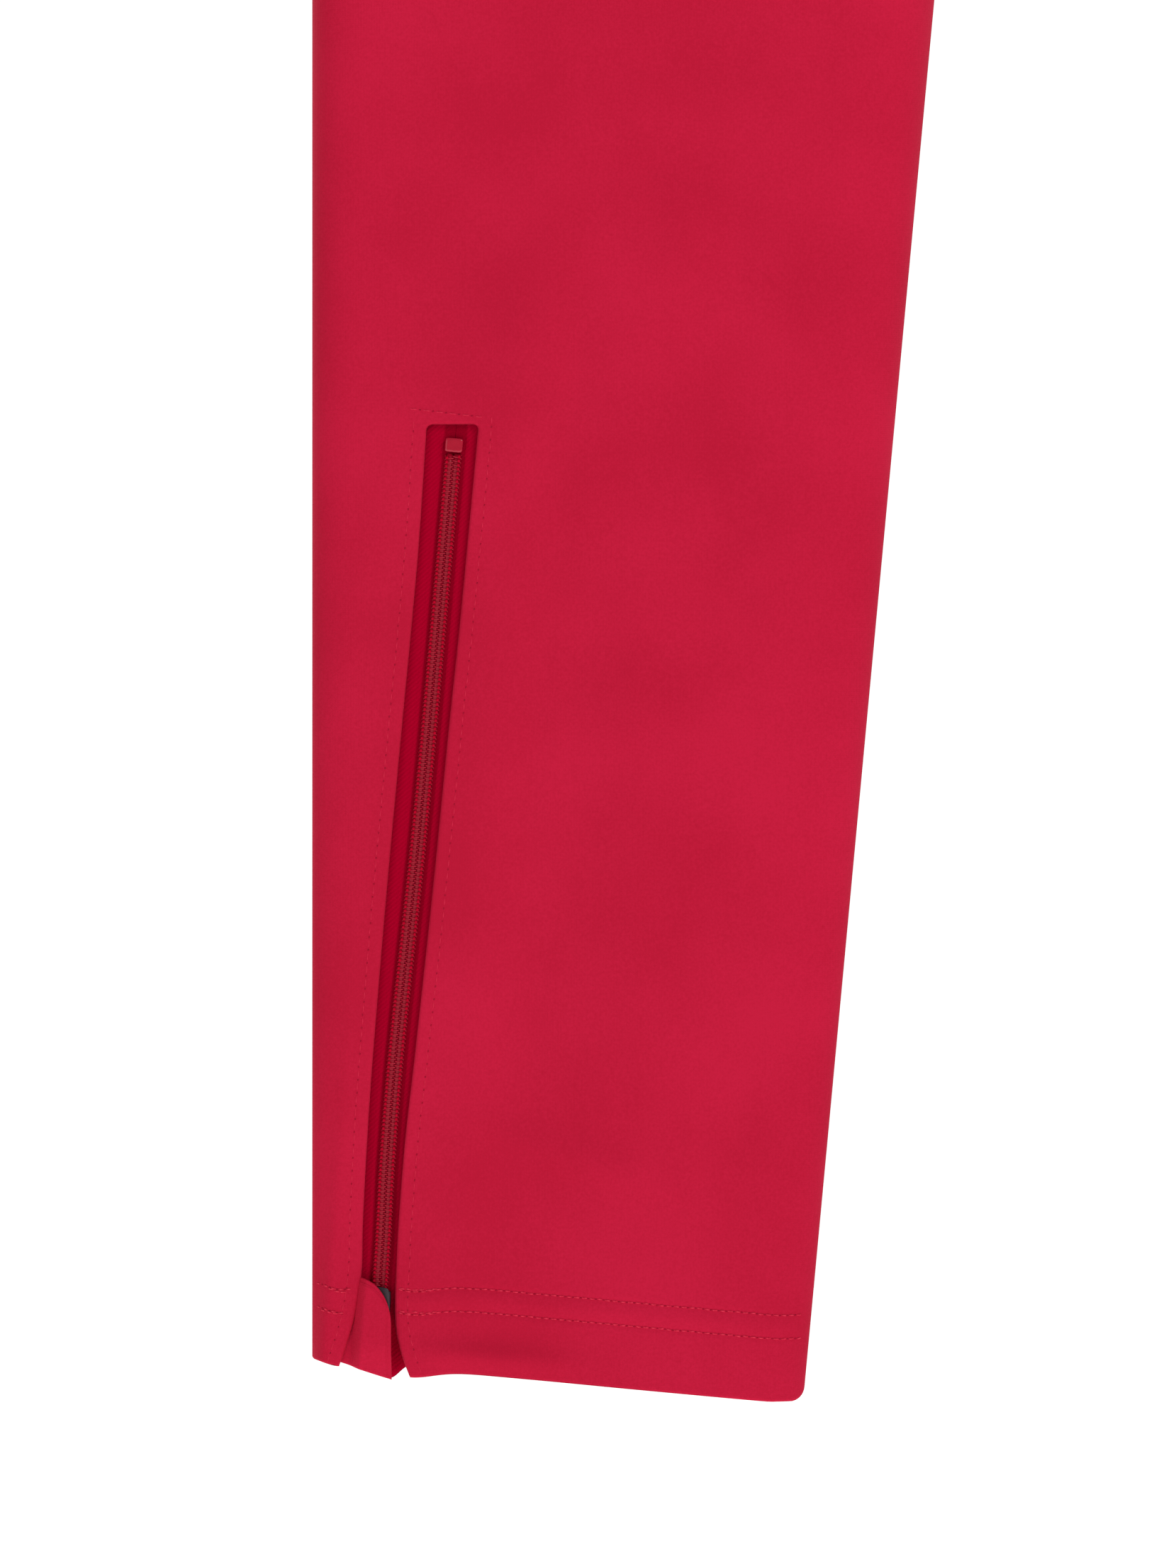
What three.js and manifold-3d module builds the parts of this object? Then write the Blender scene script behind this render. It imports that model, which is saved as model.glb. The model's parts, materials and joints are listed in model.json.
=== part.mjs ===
// Training trousers for ice hockey: two flared legs under an elastic waist, with a coil zip
// let into the front of each ankle and a soft garage flap over the closed slider.
//
// Millimetres, +Z up, -Y is the wearer's front, +X is the wearer's left leg.
// The origin is the middle of the waist opening, at the top edge of the waistband.

import * as THREE from 'three';
import { mergeVertices } from 'three/addons/utils/BufferGeometryUtils.js';
import Module from 'manifold-3d';

const wasm = await Module();
wasm.setup();

// ---------- Driving sizes ----------

// Whole garment
const OUTSEAM = 1050;
const CROTCH_DROP = 250;
const LEG_SPACING = 114;
const HEM_WIDTH = 167;
const OUTSEAM_SLOPE = 5.35;
const THIGH_HALF_WIDTH = 286;
const HIP_HALF_WIDTH = 266;
const WAIST_HALF_WIDTH = 176;
const HEM_HALF_DEPTH = 12;
const KNEE_HALF_DEPTH = 22;
const THIGH_HALF_DEPTH = 42;
const HIP_HALF_DEPTH = 60;
const WAIST_HALF_DEPTH = 50;

// Heights above the lowest point of the hem
const SPREAD_START = 490;
const KNEE_LEVEL = 475;
const STRAIGHT_TOP = 620;
const THIGH_LEVEL = 712;
const HIP_LEVEL = 850;

// Cloth and clearances
const FABRIC = 1.1;
const GAP = 0.3;
const RISE_BLEND = 110;
const MIDDLE_SOFTNESS = 0.12;
const FOLD_AT_HEM = 6;
const FOLD_AT_KNEE = 5;
const FOLD_AT_CROTCH = 3;
const FOLD_AT_WAIST = 2;

// Waistband
const BAND_HEIGHT = 40;
const ELASTIC = 1.8;
const EYELET_SPACING = 36;
const EYELET_BORE = 2.4;
const EYELET_WALL = 0.6;
const EYELET_FLANGE = 5;
const EYELET_SHEET = 0.5;
const LABEL_WIDTH = 30;
const LABEL_HEIGHT = 45;
const LABEL_SHEET = 0.4;

// Ankle zip, measured along the chain from the lower end of the coil
const ZIP_FOOT_HEIGHT = 26;
const ZIP_FOOT_INSET = 21.8;
const ZIP_SLANT = 5.09;
const ZIP_FOOT_DEPTH = 11.2;
const ZIP_LEAN = 0.0245;
const ZIP_TURN = 5;
const CHAIN_LENGTH = 297;
const LANE = 1.2;
const COIL_WIDTH = 2.4;
const COIL_HEIGHT = 1.8;
const TAPE_WIDTH = 12.9;
const TAPE_EDGE_AT_HEM = 10.6;
const TAPE_SHEET = 0.6;
const TAPE_OVERRUN = 12;
const TAPE_BOTTOM = -14;
const WINDOW_HEADROOM = 9;
const WINDOW_TOP_HALF = 9;
const WINDOW_FOOT = 22;
const WINDOW_FOOT_HALF = 6.2;
const MOUTH_INNER = 8.8;
const MOUTH_INNER_AT_HEM = 10.8;
const MOUTH_OUTER = 12.6;
const FACING = 1.7;
const FACING_REACH = 15;
const FLAT_FADE_INNER = 21;
const FLAT_FADE_OUTER = 40;
const FLAT_FADE_TOP = 70;
const WINDOW_ROUND = 2;

// Slider, stops and puller
const SLIDER_LENGTH = 11;
const SLIDER_HALF_WIDTH = 4.3;
const SLIDER_THROAT_HALF = 3.8;
const SLIDER_PLATE = 0.8;
const SLIDER_REST = 2.4;
const POST_WIDTH = 0.6;
const BRIDGE_WIDTH = 1.6;
const BRIDGE_LENGTH = 5.6;
const BRIDGE_STRAP = 0.8;
const PULLER_SHEET = 0.8;
const PULLER_LENGTH = 17;
const PULLER_WIDTH = 5;
const PULLER_RING_ARM = 1.1;
const STOP_WIDTH = 6;
const STOP_LENGTH = 4.8;
const STOP_HEIGHT = 2.4;
const TOP_STOP_LENGTH = 3.2;

// Garage flap
const FLAP_SHEET = 1.4;
const FLAP_ROOT = -12;
const FLAP_RISE_START = -8.4;
const FLAP_RISE_END = -4.8;
const FLAP_EDGE_INSET = 27.3;
const FLAP_TOP = 16;
const FLAP_BOTTOM = -15;
const FLAP_HANG = 2;
const FLAP_ROUND = 11;

// Mesh fineness
const FRONT_COLUMNS = 22;
const BACK_COLUMNS = 14;
const BAND_STEPS = 64;

// ---------- Materials ----------

const knit = new THREE.MeshStandardMaterial({ color: 0xc31b39, roughness: 0.85, metalness: 0 });
const tapeWeave = new THREE.MeshStandardMaterial({ color: 0x9a0223, roughness: 0.9, metalness: 0 });
const nylon = new THREE.MeshStandardMaterial({ color: 0xb00d30, roughness: 0.45, metalness: 0 });
const redEnamel = new THREE.MeshStandardMaterial({ color: 0xc4203c, roughness: 0.3, metalness: 0.6 });
const gunmetal = new THREE.MeshStandardMaterial({ color: 0x403038, roughness: 0.4, metalness: 0.9 });
const elasticWeb = new THREE.MeshStandardMaterial({ color: 0xe8e6e2, roughness: 0.9, metalness: 0 });
const satin = new THREE.MeshStandardMaterial({ color: 0xf2f1ee, roughness: 0.6, metalness: 0 });

// ---------- Small maths ----------

const radians = THREE.MathUtils.degToRad;
const smooth = THREE.MathUtils.smoothstep;
const mix = THREE.MathUtils.lerp;

// A smooth curve through [level, value] pairs; the slope at each pair comes from its neighbours.
function through(pairs) {
  const slopes = pairs.map((pair, i) => {
    const before = pairs[Math.max(i - 1, 0)];
    const after = pairs[Math.min(i + 1, pairs.length - 1)];
    return (after[1] - before[1]) / (after[0] - before[0]);
  });
  return (level) => {
    let i = 0;
    while (i < pairs.length - 2 && level > pairs[i + 1][0]) i += 1;
    const span = pairs[i + 1][0] - pairs[i][0];
    const s = THREE.MathUtils.clamp((level - pairs[i][0]) / span, 0, 1);
    const rise = s * s * (3 - 2 * s);
    const start = s * (1 - s) * (1 - s) * span * slopes[i];
    const end = s * s * (s - 1) * span * slopes[i + 1];
    return mix(pairs[i][1], pairs[i + 1][1], rise) + start + end;
  };
}

// ---------- Solids ----------

function solidOf(geometry) {
  const bare = geometry.clone();
  bare.deleteAttribute('normal');
  bare.deleteAttribute('uv');
  const merged = mergeVertices(bare, 1e-4);
  return new wasm.Manifold(new wasm.Mesh({
    numProp: 3,
    vertProperties: merged.attributes.position.array,
    triVerts: new Uint32Array(merged.index.array),
  }));
}

function geometryOf(solid) {
  const mesh = solid.getMesh();
  const geometry = new THREE.BufferGeometry();
  geometry.setAttribute('position', new THREE.BufferAttribute(mesh.vertProperties, 3));
  geometry.setIndex(new THREE.BufferAttribute(mesh.triVerts, 1));
  return geometry;
}

function box(width, depth, height, x, y, z) {
  return new THREE.BoxGeometry(width, depth, height).translate(x, y, z);
}

// An outline in the zip's own plane (across, along) as a plate between two heights off the tape.
function plate(outline, low, high) {
  const settings = { depth: high - low, bevelEnabled: false, curveSegments: 8 };
  return new THREE.ExtrudeGeometry(outline, settings).rotateX(Math.PI / 2).translate(0, -low, 0);
}

// A closed skin over two grids of points, one for each face, joined round the rim.
function closedSheet(outer, inner) {
  const rows = outer.length;
  const columns = outer[0].length;
  const last = columns - 1;
  const top = rows - 1;
  const points = [...outer.flat(), ...inner.flat()];
  const at = (face, row, column) => face * rows * columns + row * columns + column;
  const index = [];
  const quad = (a, b, c, d) => index.push(a, b, c, a, c, d);
  for (let r = 0; r < rows - 1; r += 1) {
    for (let c = 0; c < columns - 1; c += 1) {
      quad(at(0, r, c), at(0, r, c + 1), at(0, r + 1, c + 1), at(0, r + 1, c));
      quad(at(1, r, c), at(1, r + 1, c), at(1, r + 1, c + 1), at(1, r, c + 1));
    }
    quad(at(0, r, 0), at(0, r + 1, 0), at(1, r + 1, 0), at(1, r, 0));
    quad(at(0, r, last), at(1, r, last), at(1, r + 1, last), at(0, r + 1, last));
  }
  for (let c = 0; c < columns - 1; c += 1) {
    quad(at(0, 0, c), at(1, 0, c), at(1, 0, c + 1), at(0, 0, c + 1));
    quad(at(0, top, c), at(0, top, c + 1), at(1, top, c + 1), at(1, top, c));
  }
  const geometry = new THREE.BufferGeometry().setFromPoints(points);
  geometry.setIndex(volumeOf(points, index) > 0 ? index : index.toReversed());
  return geometry;
}

// Six times the volume inside a closed skin: positive when its faces point outwards.
function volumeOf(points, index) {
  let volume = 0;
  for (let i = 0; i < index.length; i += 3) {
    const [a, b, c] = [points[index[i]], points[index[i + 1]], points[index[i + 2]]];
    volume += a.dot(b.clone().cross(c));
  }
  return volume;
}

// ---------- The leg's shape ----------

const hemX = LEG_SPACING / 2 + HEM_WIDTH;
const flare = Math.tan(radians(OUTSEAM_SLOPE));
const outerLine = (height) => hemX + flare * height;
const crotchHeight = OUTSEAM - CROTCH_DROP;
const bandHeight = OUTSEAM - BAND_HEIGHT - GAP;

const outerAt = through([
  [0, outerLine(0)],
  [KNEE_LEVEL, outerLine(KNEE_LEVEL)],
  [STRAIGHT_TOP, outerLine(STRAIGHT_TOP)],
  [THIGH_LEVEL, THIGH_HALF_WIDTH],
  [HIP_LEVEL, HIP_HALF_WIDTH],
  [bandHeight - 60, mix(WAIST_HALF_WIDTH, HIP_HALF_WIDTH, 0.5)],
  [bandHeight, WAIST_HALF_WIDTH],
]);

const depthAt = through([
  [0, HEM_HALF_DEPTH],
  [KNEE_LEVEL, KNEE_HALF_DEPTH],
  [crotchHeight - 60, THIGH_HALF_DEPTH],
  [HIP_LEVEL + 30, HIP_HALF_DEPTH],
  [bandHeight, WAIST_HALF_DEPTH],
]);

const foldAt = through([
  [0, FOLD_AT_HEM],
  [KNEE_LEVEL, FOLD_AT_KNEE],
  [crotchHeight, FOLD_AT_CROTCH],
  [bandHeight, FOLD_AT_WAIST],
]);

// The inner edge is straight from the hem to above the knee, then runs in to the crotch.
function innerAt(height) {
  const reach = (height - SPREAD_START) / (crotchHeight - SPREAD_START);
  const open = 1 - THREE.MathUtils.clamp(reach, 0, 1) ** 2;
  return Math.max(LEG_SPACING / 2 * open, GAP / 2);
}

// The hem is square to the outer edge, so it falls away from the inner edge.
const hemAt = (x) => flare * (hemX - x);

// ---------- The zip's own frame ----------

const slant = Math.tan(radians(ZIP_SLANT));
const turn = Math.tan(radians(ZIP_TURN));
const zipX = (height) => LEG_SPACING / 2 + ZIP_FOOT_INSET + slant * (height - ZIP_FOOT_HEIGHT);
const zipDepth = (height) => ZIP_FOOT_DEPTH + ZIP_LEAN * (height - ZIP_FOOT_HEIGHT);

// Lengths along the chain
const windowTop = CHAIN_LENGTH + WINDOW_HEADROOM;
const tapeTop = windowTop + TAPE_OVERRUN;

// Heights off the tape's face
const panelInside = FACING + GAP;
const panelFace = panelInside + FABRIC;
const coilTop = GAP + COIL_HEIGHT;
const topPlateLow = coilTop + GAP;
const topPlateHigh = topPlateLow + SLIDER_PLATE;
const pullerLow = topPlateHigh + GAP;
const pullerHigh = pullerLow + PULLER_SHEET;
const bridgeLow = pullerHigh + GAP;
const bridgeHigh = bridgeLow + BRIDGE_STRAP;
const bottomPlateHigh = -TAPE_SHEET - GAP;
const bottomPlateLow = bottomPlateHigh - SLIDER_PLATE;
const flapLow = bridgeHigh + GAP;

// The frame's Z runs up the chain, X across it and Y into the leg. Its origin is on the tape's
// face at the coil's lower end. The right leg has the mirrored frame, with X turned round.
function zipFrame(side) {
  const along = new THREE.Vector3(slant, -ZIP_LEAN, 1).normalize();
  const across = new THREE.Vector3(1, -turn, 0);
  across.addScaledVector(along, -across.dot(along)).normalize();
  const inward = along.clone().cross(across);
  const foot = ZIP_FOOT_HEIGHT;
  const origin = new THREE.Vector3(zipX(foot), -zipDepth(foot), foot - OUTSEAM);
  origin.addScaledVector(inward, panelFace);
  const mirror = new THREE.Vector3(side, 1, 1);
  const frame = new THREE.Matrix4().makeBasis(
    across.multiply(mirror).multiplyScalar(side),
    inward.multiply(mirror),
    along.multiply(mirror),
  );
  return frame.setPosition(origin.multiply(mirror));
}

// How far a point of the leg lies across the chain and up along it.
function fromChain(x, height) {
  const cosine = Math.cos(radians(ZIP_SLANT));
  return {
    across: (x - zipX(height)) * cosine,
    along: (height - ZIP_FOOT_HEIGHT) / cosine,
  };
}

// ---------- Panels ----------

// Half the leg's depth at a point: a flattened tube below the crotch, half of a full torso above it.
function plainDepth(share, height) {
  const rise = smooth(height, crotchHeight, crotchHeight + RISE_BLEND);
  const fromMiddle = Math.hypot(2 * share - 1, MIDDLE_SOFTNESS) - MIDDLE_SOFTNESS;
  const tube = fromMiddle / (Math.hypot(1, MIDDLE_SOFTNESS) - MIDDLE_SOFTNESS);
  const reach = mix(tube, share, rise);
  return depthAt(height) * Math.sqrt(Math.max(1 - reach ** foldAt(height), 0));
}

// The front lies flat in the zip's plane round the chain.
function frontDepth(share, x, height) {
  const { across, along } = fromChain(x, height);
  const reach = Math.abs(across);
  const room = across < 0 ? FLAT_FADE_INNER : FLAT_FADE_OUTER;
  const beside = 1 - smooth(reach, FACING_REACH + GAP, room);
  const below = 1 - smooth(along, tapeTop, tapeTop + FLAT_FADE_TOP);
  const flat = zipDepth(height) + turn * (x - zipX(height));
  return mix(plainDepth(share, height), flat, beside * below);
}

// The cloth is turned in round the zip's window and sewn to the tapes.
function facingAt(x, height) {
  const { across, along } = fromChain(x, height);
  const low = across < 0 ? FLAP_TOP + 4 : TAPE_BOTTOM;
  const inside = Math.abs(across) < FACING_REACH && along > low && along < tapeTop;
  return inside ? FACING : 0;
}

function panelPoint(face, side, share, level) {
  const widest = outerAt(level) - innerAt(level);
  const drop = 1 - smooth(level, 0, 2 * HEM_WIDTH);
  const height = level + drop * hemAt(innerAt(level) + share * widest);
  const x = mix(innerAt(height), outerAt(height), share);
  const depth = face < 0 ? frontDepth(share, x, height) : plainDepth(share, height);
  return new THREE.Vector3(side * x, face * Math.max(depth, GAP / 2), height - OUTSEAM);
}

function legPanel(face, side, columns, levels) {
  const step = 1e-3;
  const outer = [];
  const inner = [];
  for (const level of levels) {
    const outerRow = [];
    const innerRow = [];
    for (let c = 0; c <= columns; c += 1) {
      const share = (1 - Math.cos(Math.PI * c / columns)) / 2;
      const point = panelPoint(face, side, share, level);
      const nearShare = Math.min(Math.max(share, step), 1 - step);
      const low = panelPoint(face, side, nearShare - step, level);
      const high = panelPoint(face, side, nearShare + step, level);
      const up = panelPoint(face, side, nearShare, level + 1);
      const down = panelPoint(face, side, nearShare, level - 1);
      const normal = high.sub(low).cross(up.sub(down)).normalize();
      if (normal.y * face < 0) normal.negate();
      const turned = face < 0 ? facingAt(side * point.x, point.z + OUTSEAM) : 0;
      const inside = point.clone().addScaledVector(normal, -FABRIC - turned);
      inside.x = side * Math.max(side * inside.x, GAP / 2);
      inside.y = face * Math.max(face * inside.y, GAP / 2);
      outerRow.push(point);
      innerRow.push(inside);
    }
    outer.push(outerRow);
    inner.push(innerRow);
  }
  return closedSheet(outer, inner);
}

// Row heights, closer together where the shape changes fast.
function levelsThrough(stretches) {
  const levels = [0];
  for (const [top, count] of stretches) {
    const bottom = levels.at(-1);
    for (let i = 1; i <= count; i += 1) levels.push(mix(bottom, top, i / count));
  }
  return levels;
}

const frontLevels = levelsThrough([
  [FLAP_TOP + ZIP_FOOT_HEIGHT, 3],
  [windowTop + ZIP_FOOT_HEIGHT, 9],
  [SPREAD_START, 4],
  [crotchHeight - 30, 8],
  [crotchHeight + RISE_BLEND, 9],
  [bandHeight, 5],
]);
const backLevels = levelsThrough([
  [SPREAD_START, 9],
  [crotchHeight - 30, 8],
  [crotchHeight + RISE_BLEND, 8],
  [bandHeight, 5],
]);

// The window's outline in the zip's plane: narrowing to the slider, then opening towards the hem.
function windowOutline(side) {
  const round = WINDOW_ROUND;
  const mouth = -2 * ZIP_FOOT_HEIGHT;
  const outline = new THREE.Shape();
  outline.moveTo(-MOUTH_INNER_AT_HEM * side, mouth);
  outline.lineTo(-MOUTH_INNER_AT_HEM * side, TAPE_BOTTOM);
  outline.lineTo(-MOUTH_INNER * side, 0);
  outline.lineTo(-MOUTH_INNER * side, FLAP_TOP);
  outline.lineTo(-WINDOW_FOOT_HALF * side, WINDOW_FOOT);
  outline.lineTo(-WINDOW_TOP_HALF * side, windowTop - round);
  outline.lineTo((-WINDOW_TOP_HALF + round) * side, windowTop);
  outline.lineTo((WINDOW_TOP_HALF - round) * side, windowTop);
  outline.lineTo(WINDOW_TOP_HALF * side, windowTop - round);
  outline.lineTo(WINDOW_FOOT_HALF * side, WINDOW_FOOT);
  outline.lineTo(WINDOW_FOOT_HALF * side, 4);
  outline.lineTo(MOUTH_OUTER * side, TAPE_BOTTOM);
  outline.lineTo(MOUTH_OUTER * side, mouth);
  return outline;
}

function frontPanel(side, frame) {
  const cutter = plate(windowOutline(side), -HEM_HALF_DEPTH / 2, HEM_HALF_DEPTH).applyMatrix4(frame);
  const panel = solidOf(legPanel(-1, side, FRONT_COLUMNS, frontLevels));
  return geometryOf(panel.subtract(solidOf(cutter)));
}

// ---------- Zip pieces, in the zip's frame ----------

function polygon(points) {
  return new THREE.Shape(points.map(([x, y]) => new THREE.Vector2(x, y)));
}

// One tape: its bead edge beside the lane, its selvedge under the panel.
function zipTape(direction, footWidth) {
  const bead = LANE / 2 * direction;
  const edge = (LANE / 2 + TAPE_WIDTH) * direction;
  const foot = footWidth * direction;
  const outline = polygon([
    [bead, TAPE_BOTTOM],
    [foot, TAPE_BOTTOM],
    [edge, 3 * WINDOW_FOOT],
    [edge, tapeTop],
    [bead, tapeTop],
  ]);
  return plate(outline, -TAPE_SHEET, 0);
}

// An eight-sided bar of the coil's outer size, flat side down on the tape.
function zipCoil(direction) {
  const middle = (LANE + COIL_WIDTH) / 2 * direction;
  const corner = 0.5 / Math.cos(Math.PI / 8);
  const bar = new THREE.CylinderGeometry(corner, corner, CHAIN_LENGTH, 8, 1).rotateX(Math.PI / 2);
  bar.rotateZ(Math.PI / 8).scale(COIL_WIDTH, COIL_HEIGHT, 1);
  return bar.translate(middle, -(GAP + coilTop) / 2, CHAIN_LENGTH / 2);
}

function bottomStop() {
  const middle = CHAIN_LENGTH + GAP + STOP_LENGTH / 2;
  return box(STOP_WIDTH, STOP_HEIGHT, STOP_LENGTH, 0, -GAP - STOP_HEIGHT / 2, middle);
}

function topStop(direction) {
  const middle = (LANE + COIL_WIDTH) / 2 * direction;
  const below = -GAP - TOP_STOP_LENGTH / 2;
  return box(COIL_WIDTH, COIL_HEIGHT, TOP_STOP_LENGTH, middle, -(GAP + coilTop) / 2, below);
}

// A block between two heights off the tape, centred across the lane.
function laneBlock(width, low, high, length, middle) {
  return solidOf(box(width, high - low, length, 0, -(low + high) / 2, middle));
}

// Two plates with side flanges, joined by the post that runs in the lane, and the puller's bridge.
function zipSlider() {
  const low = SLIDER_REST;
  const high = SLIDER_REST + SLIDER_LENGTH;
  const middle = (low + high) / 2;
  const wide = SLIDER_HALF_WIDTH;
  const throat = SLIDER_THROAT_HALF;
  const outline = polygon([
    [-wide + 1, low],
    [wide - 1, low],
    [wide, low + 1],
    [wide, middle],
    [throat, high - 1],
    [throat - 1, high],
    [-throat + 1, high],
    [-throat, high - 1],
    [-wide, middle],
    [-wide, low + 1],
  ]);
  const channel = LANE / 2 + COIL_WIDTH + GAP / 2;
  const top = solidOf(plate(outline, GAP, topPlateHigh));
  const coilRoom = laneBlock(2 * channel, 0, topPlateLow, 2 * SLIDER_LENGTH, middle);
  const bottom = solidOf(plate(outline, bottomPlateLow, bottomPlateHigh));
  const root = SLIDER_PLATE / 2;
  const postLow = bottomPlateHigh - root;
  const postMiddle = low + SLIDER_LENGTH / 4;
  const post = laneBlock(POST_WIDTH, postLow, topPlateLow + root, SLIDER_LENGTH / 3, postMiddle);
  const arch = laneBlock(BRIDGE_WIDTH, topPlateHigh - root, bridgeHigh, BRIDGE_LENGTH, middle);
  const holeLength = BRIDGE_LENGTH - 2 * BRIDGE_STRAP;
  const hole = laneBlock(2 * BRIDGE_WIDTH, topPlateHigh, bridgeLow, holeLength, middle);
  return geometryOf(top.subtract(coilRoom).add(bottom).add(post).add(arch.subtract(hole)));
}

// A flat tab with a ring round the bridge. Its crossbar lies under the bridge and is the hinge.
function zipPuller() {
  const hinge = SLIDER_REST + SLIDER_LENGTH / 2;
  const bar = PULLER_SHEET / 2;
  const arm = PULLER_RING_ARM;
  const halfHole = BRIDGE_WIDTH / 2 + GAP;
  const halfRing = halfHole + arm;
  const holeFoot = hinge - Math.hypot(BRIDGE_LENGTH / 2, bridgeHigh - pullerLow) - GAP;
  const foot = hinge + bar - PULLER_LENGTH;
  const half = PULLER_WIDTH / 2;
  const outline = polygon([
    [-halfRing, hinge + bar],
    [-halfRing, holeFoot - arm],
    [-half, holeFoot - 3 * arm],
    [-half, foot + arm],
    [-half + arm, foot],
    [half - arm, foot],
    [half, foot + arm],
    [half, holeFoot - 3 * arm],
    [halfRing, holeFoot - arm],
    [halfRing, hinge + bar],
  ]);
  const ring = polygon([
    [-halfHole, hinge - bar],
    [-halfHole, holeFoot],
    [halfHole, holeFoot],
    [halfHole, hinge - bar],
  ]);
  outline.holes.push(ring);
  return plate(outline, pullerLow, pullerHigh);
}

// The flap is rooted under the panel's inner edge, climbs over the slider and has a round corner.
function garageFlap(side) {
  const rows = [2 * FLAP_BOTTOM, 2 * FLAP_TOP];
  const climb = [0, 0.25, 0.5, 0.75, 1].map((share) => mix(FLAP_RISE_START, FLAP_RISE_END, share));
  const stations = [FLAP_ROOT, ...climb, 0, -FLAP_ROOT];
  const height = (across) => mix(GAP, flapLow, smooth(across, FLAP_RISE_START, FLAP_RISE_END));
  const point = (across, along, off) => new THREE.Vector3(side * across, -off, along);
  const row = (along, lift) => stations.map((across) => point(across, along, height(across) + lift));
  const grid = (lift) => rows.map((along) => row(along, lift));
  const sheet = closedSheet(grid(FLAP_SHEET), grid(0));

  const edge = (along) => FLAP_EDGE_INSET - ZIP_FOOT_INSET - slant * along;
  const outline = new THREE.Shape();
  const shoulder = FLAP_TOP - FLAP_ROUND;
  outline.moveTo(side * (FLAP_ROOT - GAP), FLAP_BOTTOM);
  outline.lineTo(side * edge(FLAP_BOTTOM), FLAP_BOTTOM - FLAP_HANG);
  outline.lineTo(side * edge(shoulder), shoulder);
  const corner = FLAP_TOP - FLAP_ROUND / 4;
  outline.quadraticCurveTo(side * edge(shoulder), corner, side * FLAP_RISE_START, FLAP_TOP);
  outline.lineTo(side * (FLAP_ROOT - GAP), FLAP_TOP);
  return geometryOf(solidOf(sheet).intersect(solidOf(plate(outline, -GAP, 2 * flapLow))));
}

// ---------- Waist ----------

// A ring round the waist: a section of [inwards, height] points swept round the waist's ellipse.
function waistRing(section) {
  const points = [];
  const index = [];
  const count = section.length;
  for (let i = 0; i < BAND_STEPS; i += 1) {
    const angle = 2 * Math.PI * i / BAND_STEPS;
    const turnX = Math.cos(angle);
    const turnY = Math.sin(angle);
    const spot = new THREE.Vector3(WAIST_HALF_WIDTH * turnX, WAIST_HALF_DEPTH * turnY, 0);
    const inward = new THREE.Vector3(-WAIST_HALF_DEPTH * turnX, -WAIST_HALF_WIDTH * turnY, 0).normalize();
    for (const [deep, height] of section) {
      points.push(new THREE.Vector3(0, 0, height).add(spot).addScaledVector(inward, deep));
    }
    const next = (i + 1) % BAND_STEPS;
    for (let k = 0; k < count; k += 1) {
      const a = i * count + k;
      const b = i * count + (k + 1) % count;
      const c = next * count + (k + 1) % count;
      const d = next * count + k;
      index.push(a, b, c, a, c, d);
    }
  }
  const geometry = new THREE.BufferGeometry().setFromPoints(points);
  geometry.setIndex(volumeOf(points, index) > 0 ? index : index.toReversed());
  return geometry;
}

const channelDepth = FABRIC + GAP + ELASTIC + GAP;

function waistFront(x, deep) {
  return -WAIST_HALF_DEPTH * Math.sqrt(1 - (x / WAIST_HALF_WIDTH) ** 2) + deep;
}

function waistband() {
  const ring = waistRing([
    [0, -BAND_HEIGHT],
    [0, 0],
    [channelDepth + FABRIC, 0],
    [channelDepth + FABRIC, -BAND_HEIGHT],
    [channelDepth, -BAND_HEIGHT],
    [channelDepth, -FABRIC],
    [FABRIC, -FABRIC],
    [FABRIC, -BAND_HEIGHT],
  ]);
  let solid = solidOf(ring);
  for (const side of [1, -1]) {
    const x = side * EYELET_SPACING / 2;
    const hole = new THREE.CylinderGeometry(1, 1, 3 * FABRIC, 24);
    hole.scale(EYELET_BORE + EYELET_WALL + GAP, 1, EYELET_BORE + EYELET_WALL + GAP);
    solid = solid.subtract(solidOf(hole.translate(x, waistFront(x, FABRIC / 2), -BAND_HEIGHT / 2)));
  }
  return geometryOf(solid);
}

function elasticRing() {
  const outside = FABRIC + GAP;
  return waistRing([
    [outside, -BAND_HEIGHT + FABRIC],
    [outside, -FABRIC - GAP],
    [outside + ELASTIC, -FABRIC - GAP],
    [outside + ELASTIC, -BAND_HEIGHT + FABRIC],
  ]);
}

// A flanged ring let into the waistband's outer cloth.
function eyelet(side) {
  const wall = EYELET_BORE + EYELET_WALL;
  const profile = [
    [EYELET_BORE, 0],
    [wall, 0],
    [wall, FABRIC + GAP],
    [EYELET_FLANGE, FABRIC + GAP],
    [EYELET_FLANGE, FABRIC + GAP + EYELET_SHEET],
    [EYELET_BORE, FABRIC + GAP + EYELET_SHEET],
    [EYELET_BORE, 0],
  ];
  const lathe = new THREE.LatheGeometry(profile.map(([r, h]) => new THREE.Vector2(r, h)), 24);
  const x = side * EYELET_SPACING / 2;
  return lathe.rotateX(Math.PI).translate(x, waistFront(x, FABRIC), -BAND_HEIGHT / 2);
}

function careLabel() {
  const inside = WAIST_HALF_DEPTH - channelDepth - FABRIC - 2 * GAP;
  const middle = -0.75 * BAND_HEIGHT - LABEL_HEIGHT / 2;
  return box(LABEL_WIDTH, LABEL_SHEET, LABEL_HEIGHT, 0, inside - LABEL_SHEET / 2, middle);
}

// ---------- Assembly ----------

const trousers = new THREE.Group();

function add(parent, name, geometry, material) {
  const mesh = new THREE.Mesh(geometry, material);
  mesh.name = name;
  parent.add(mesh);
}

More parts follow.
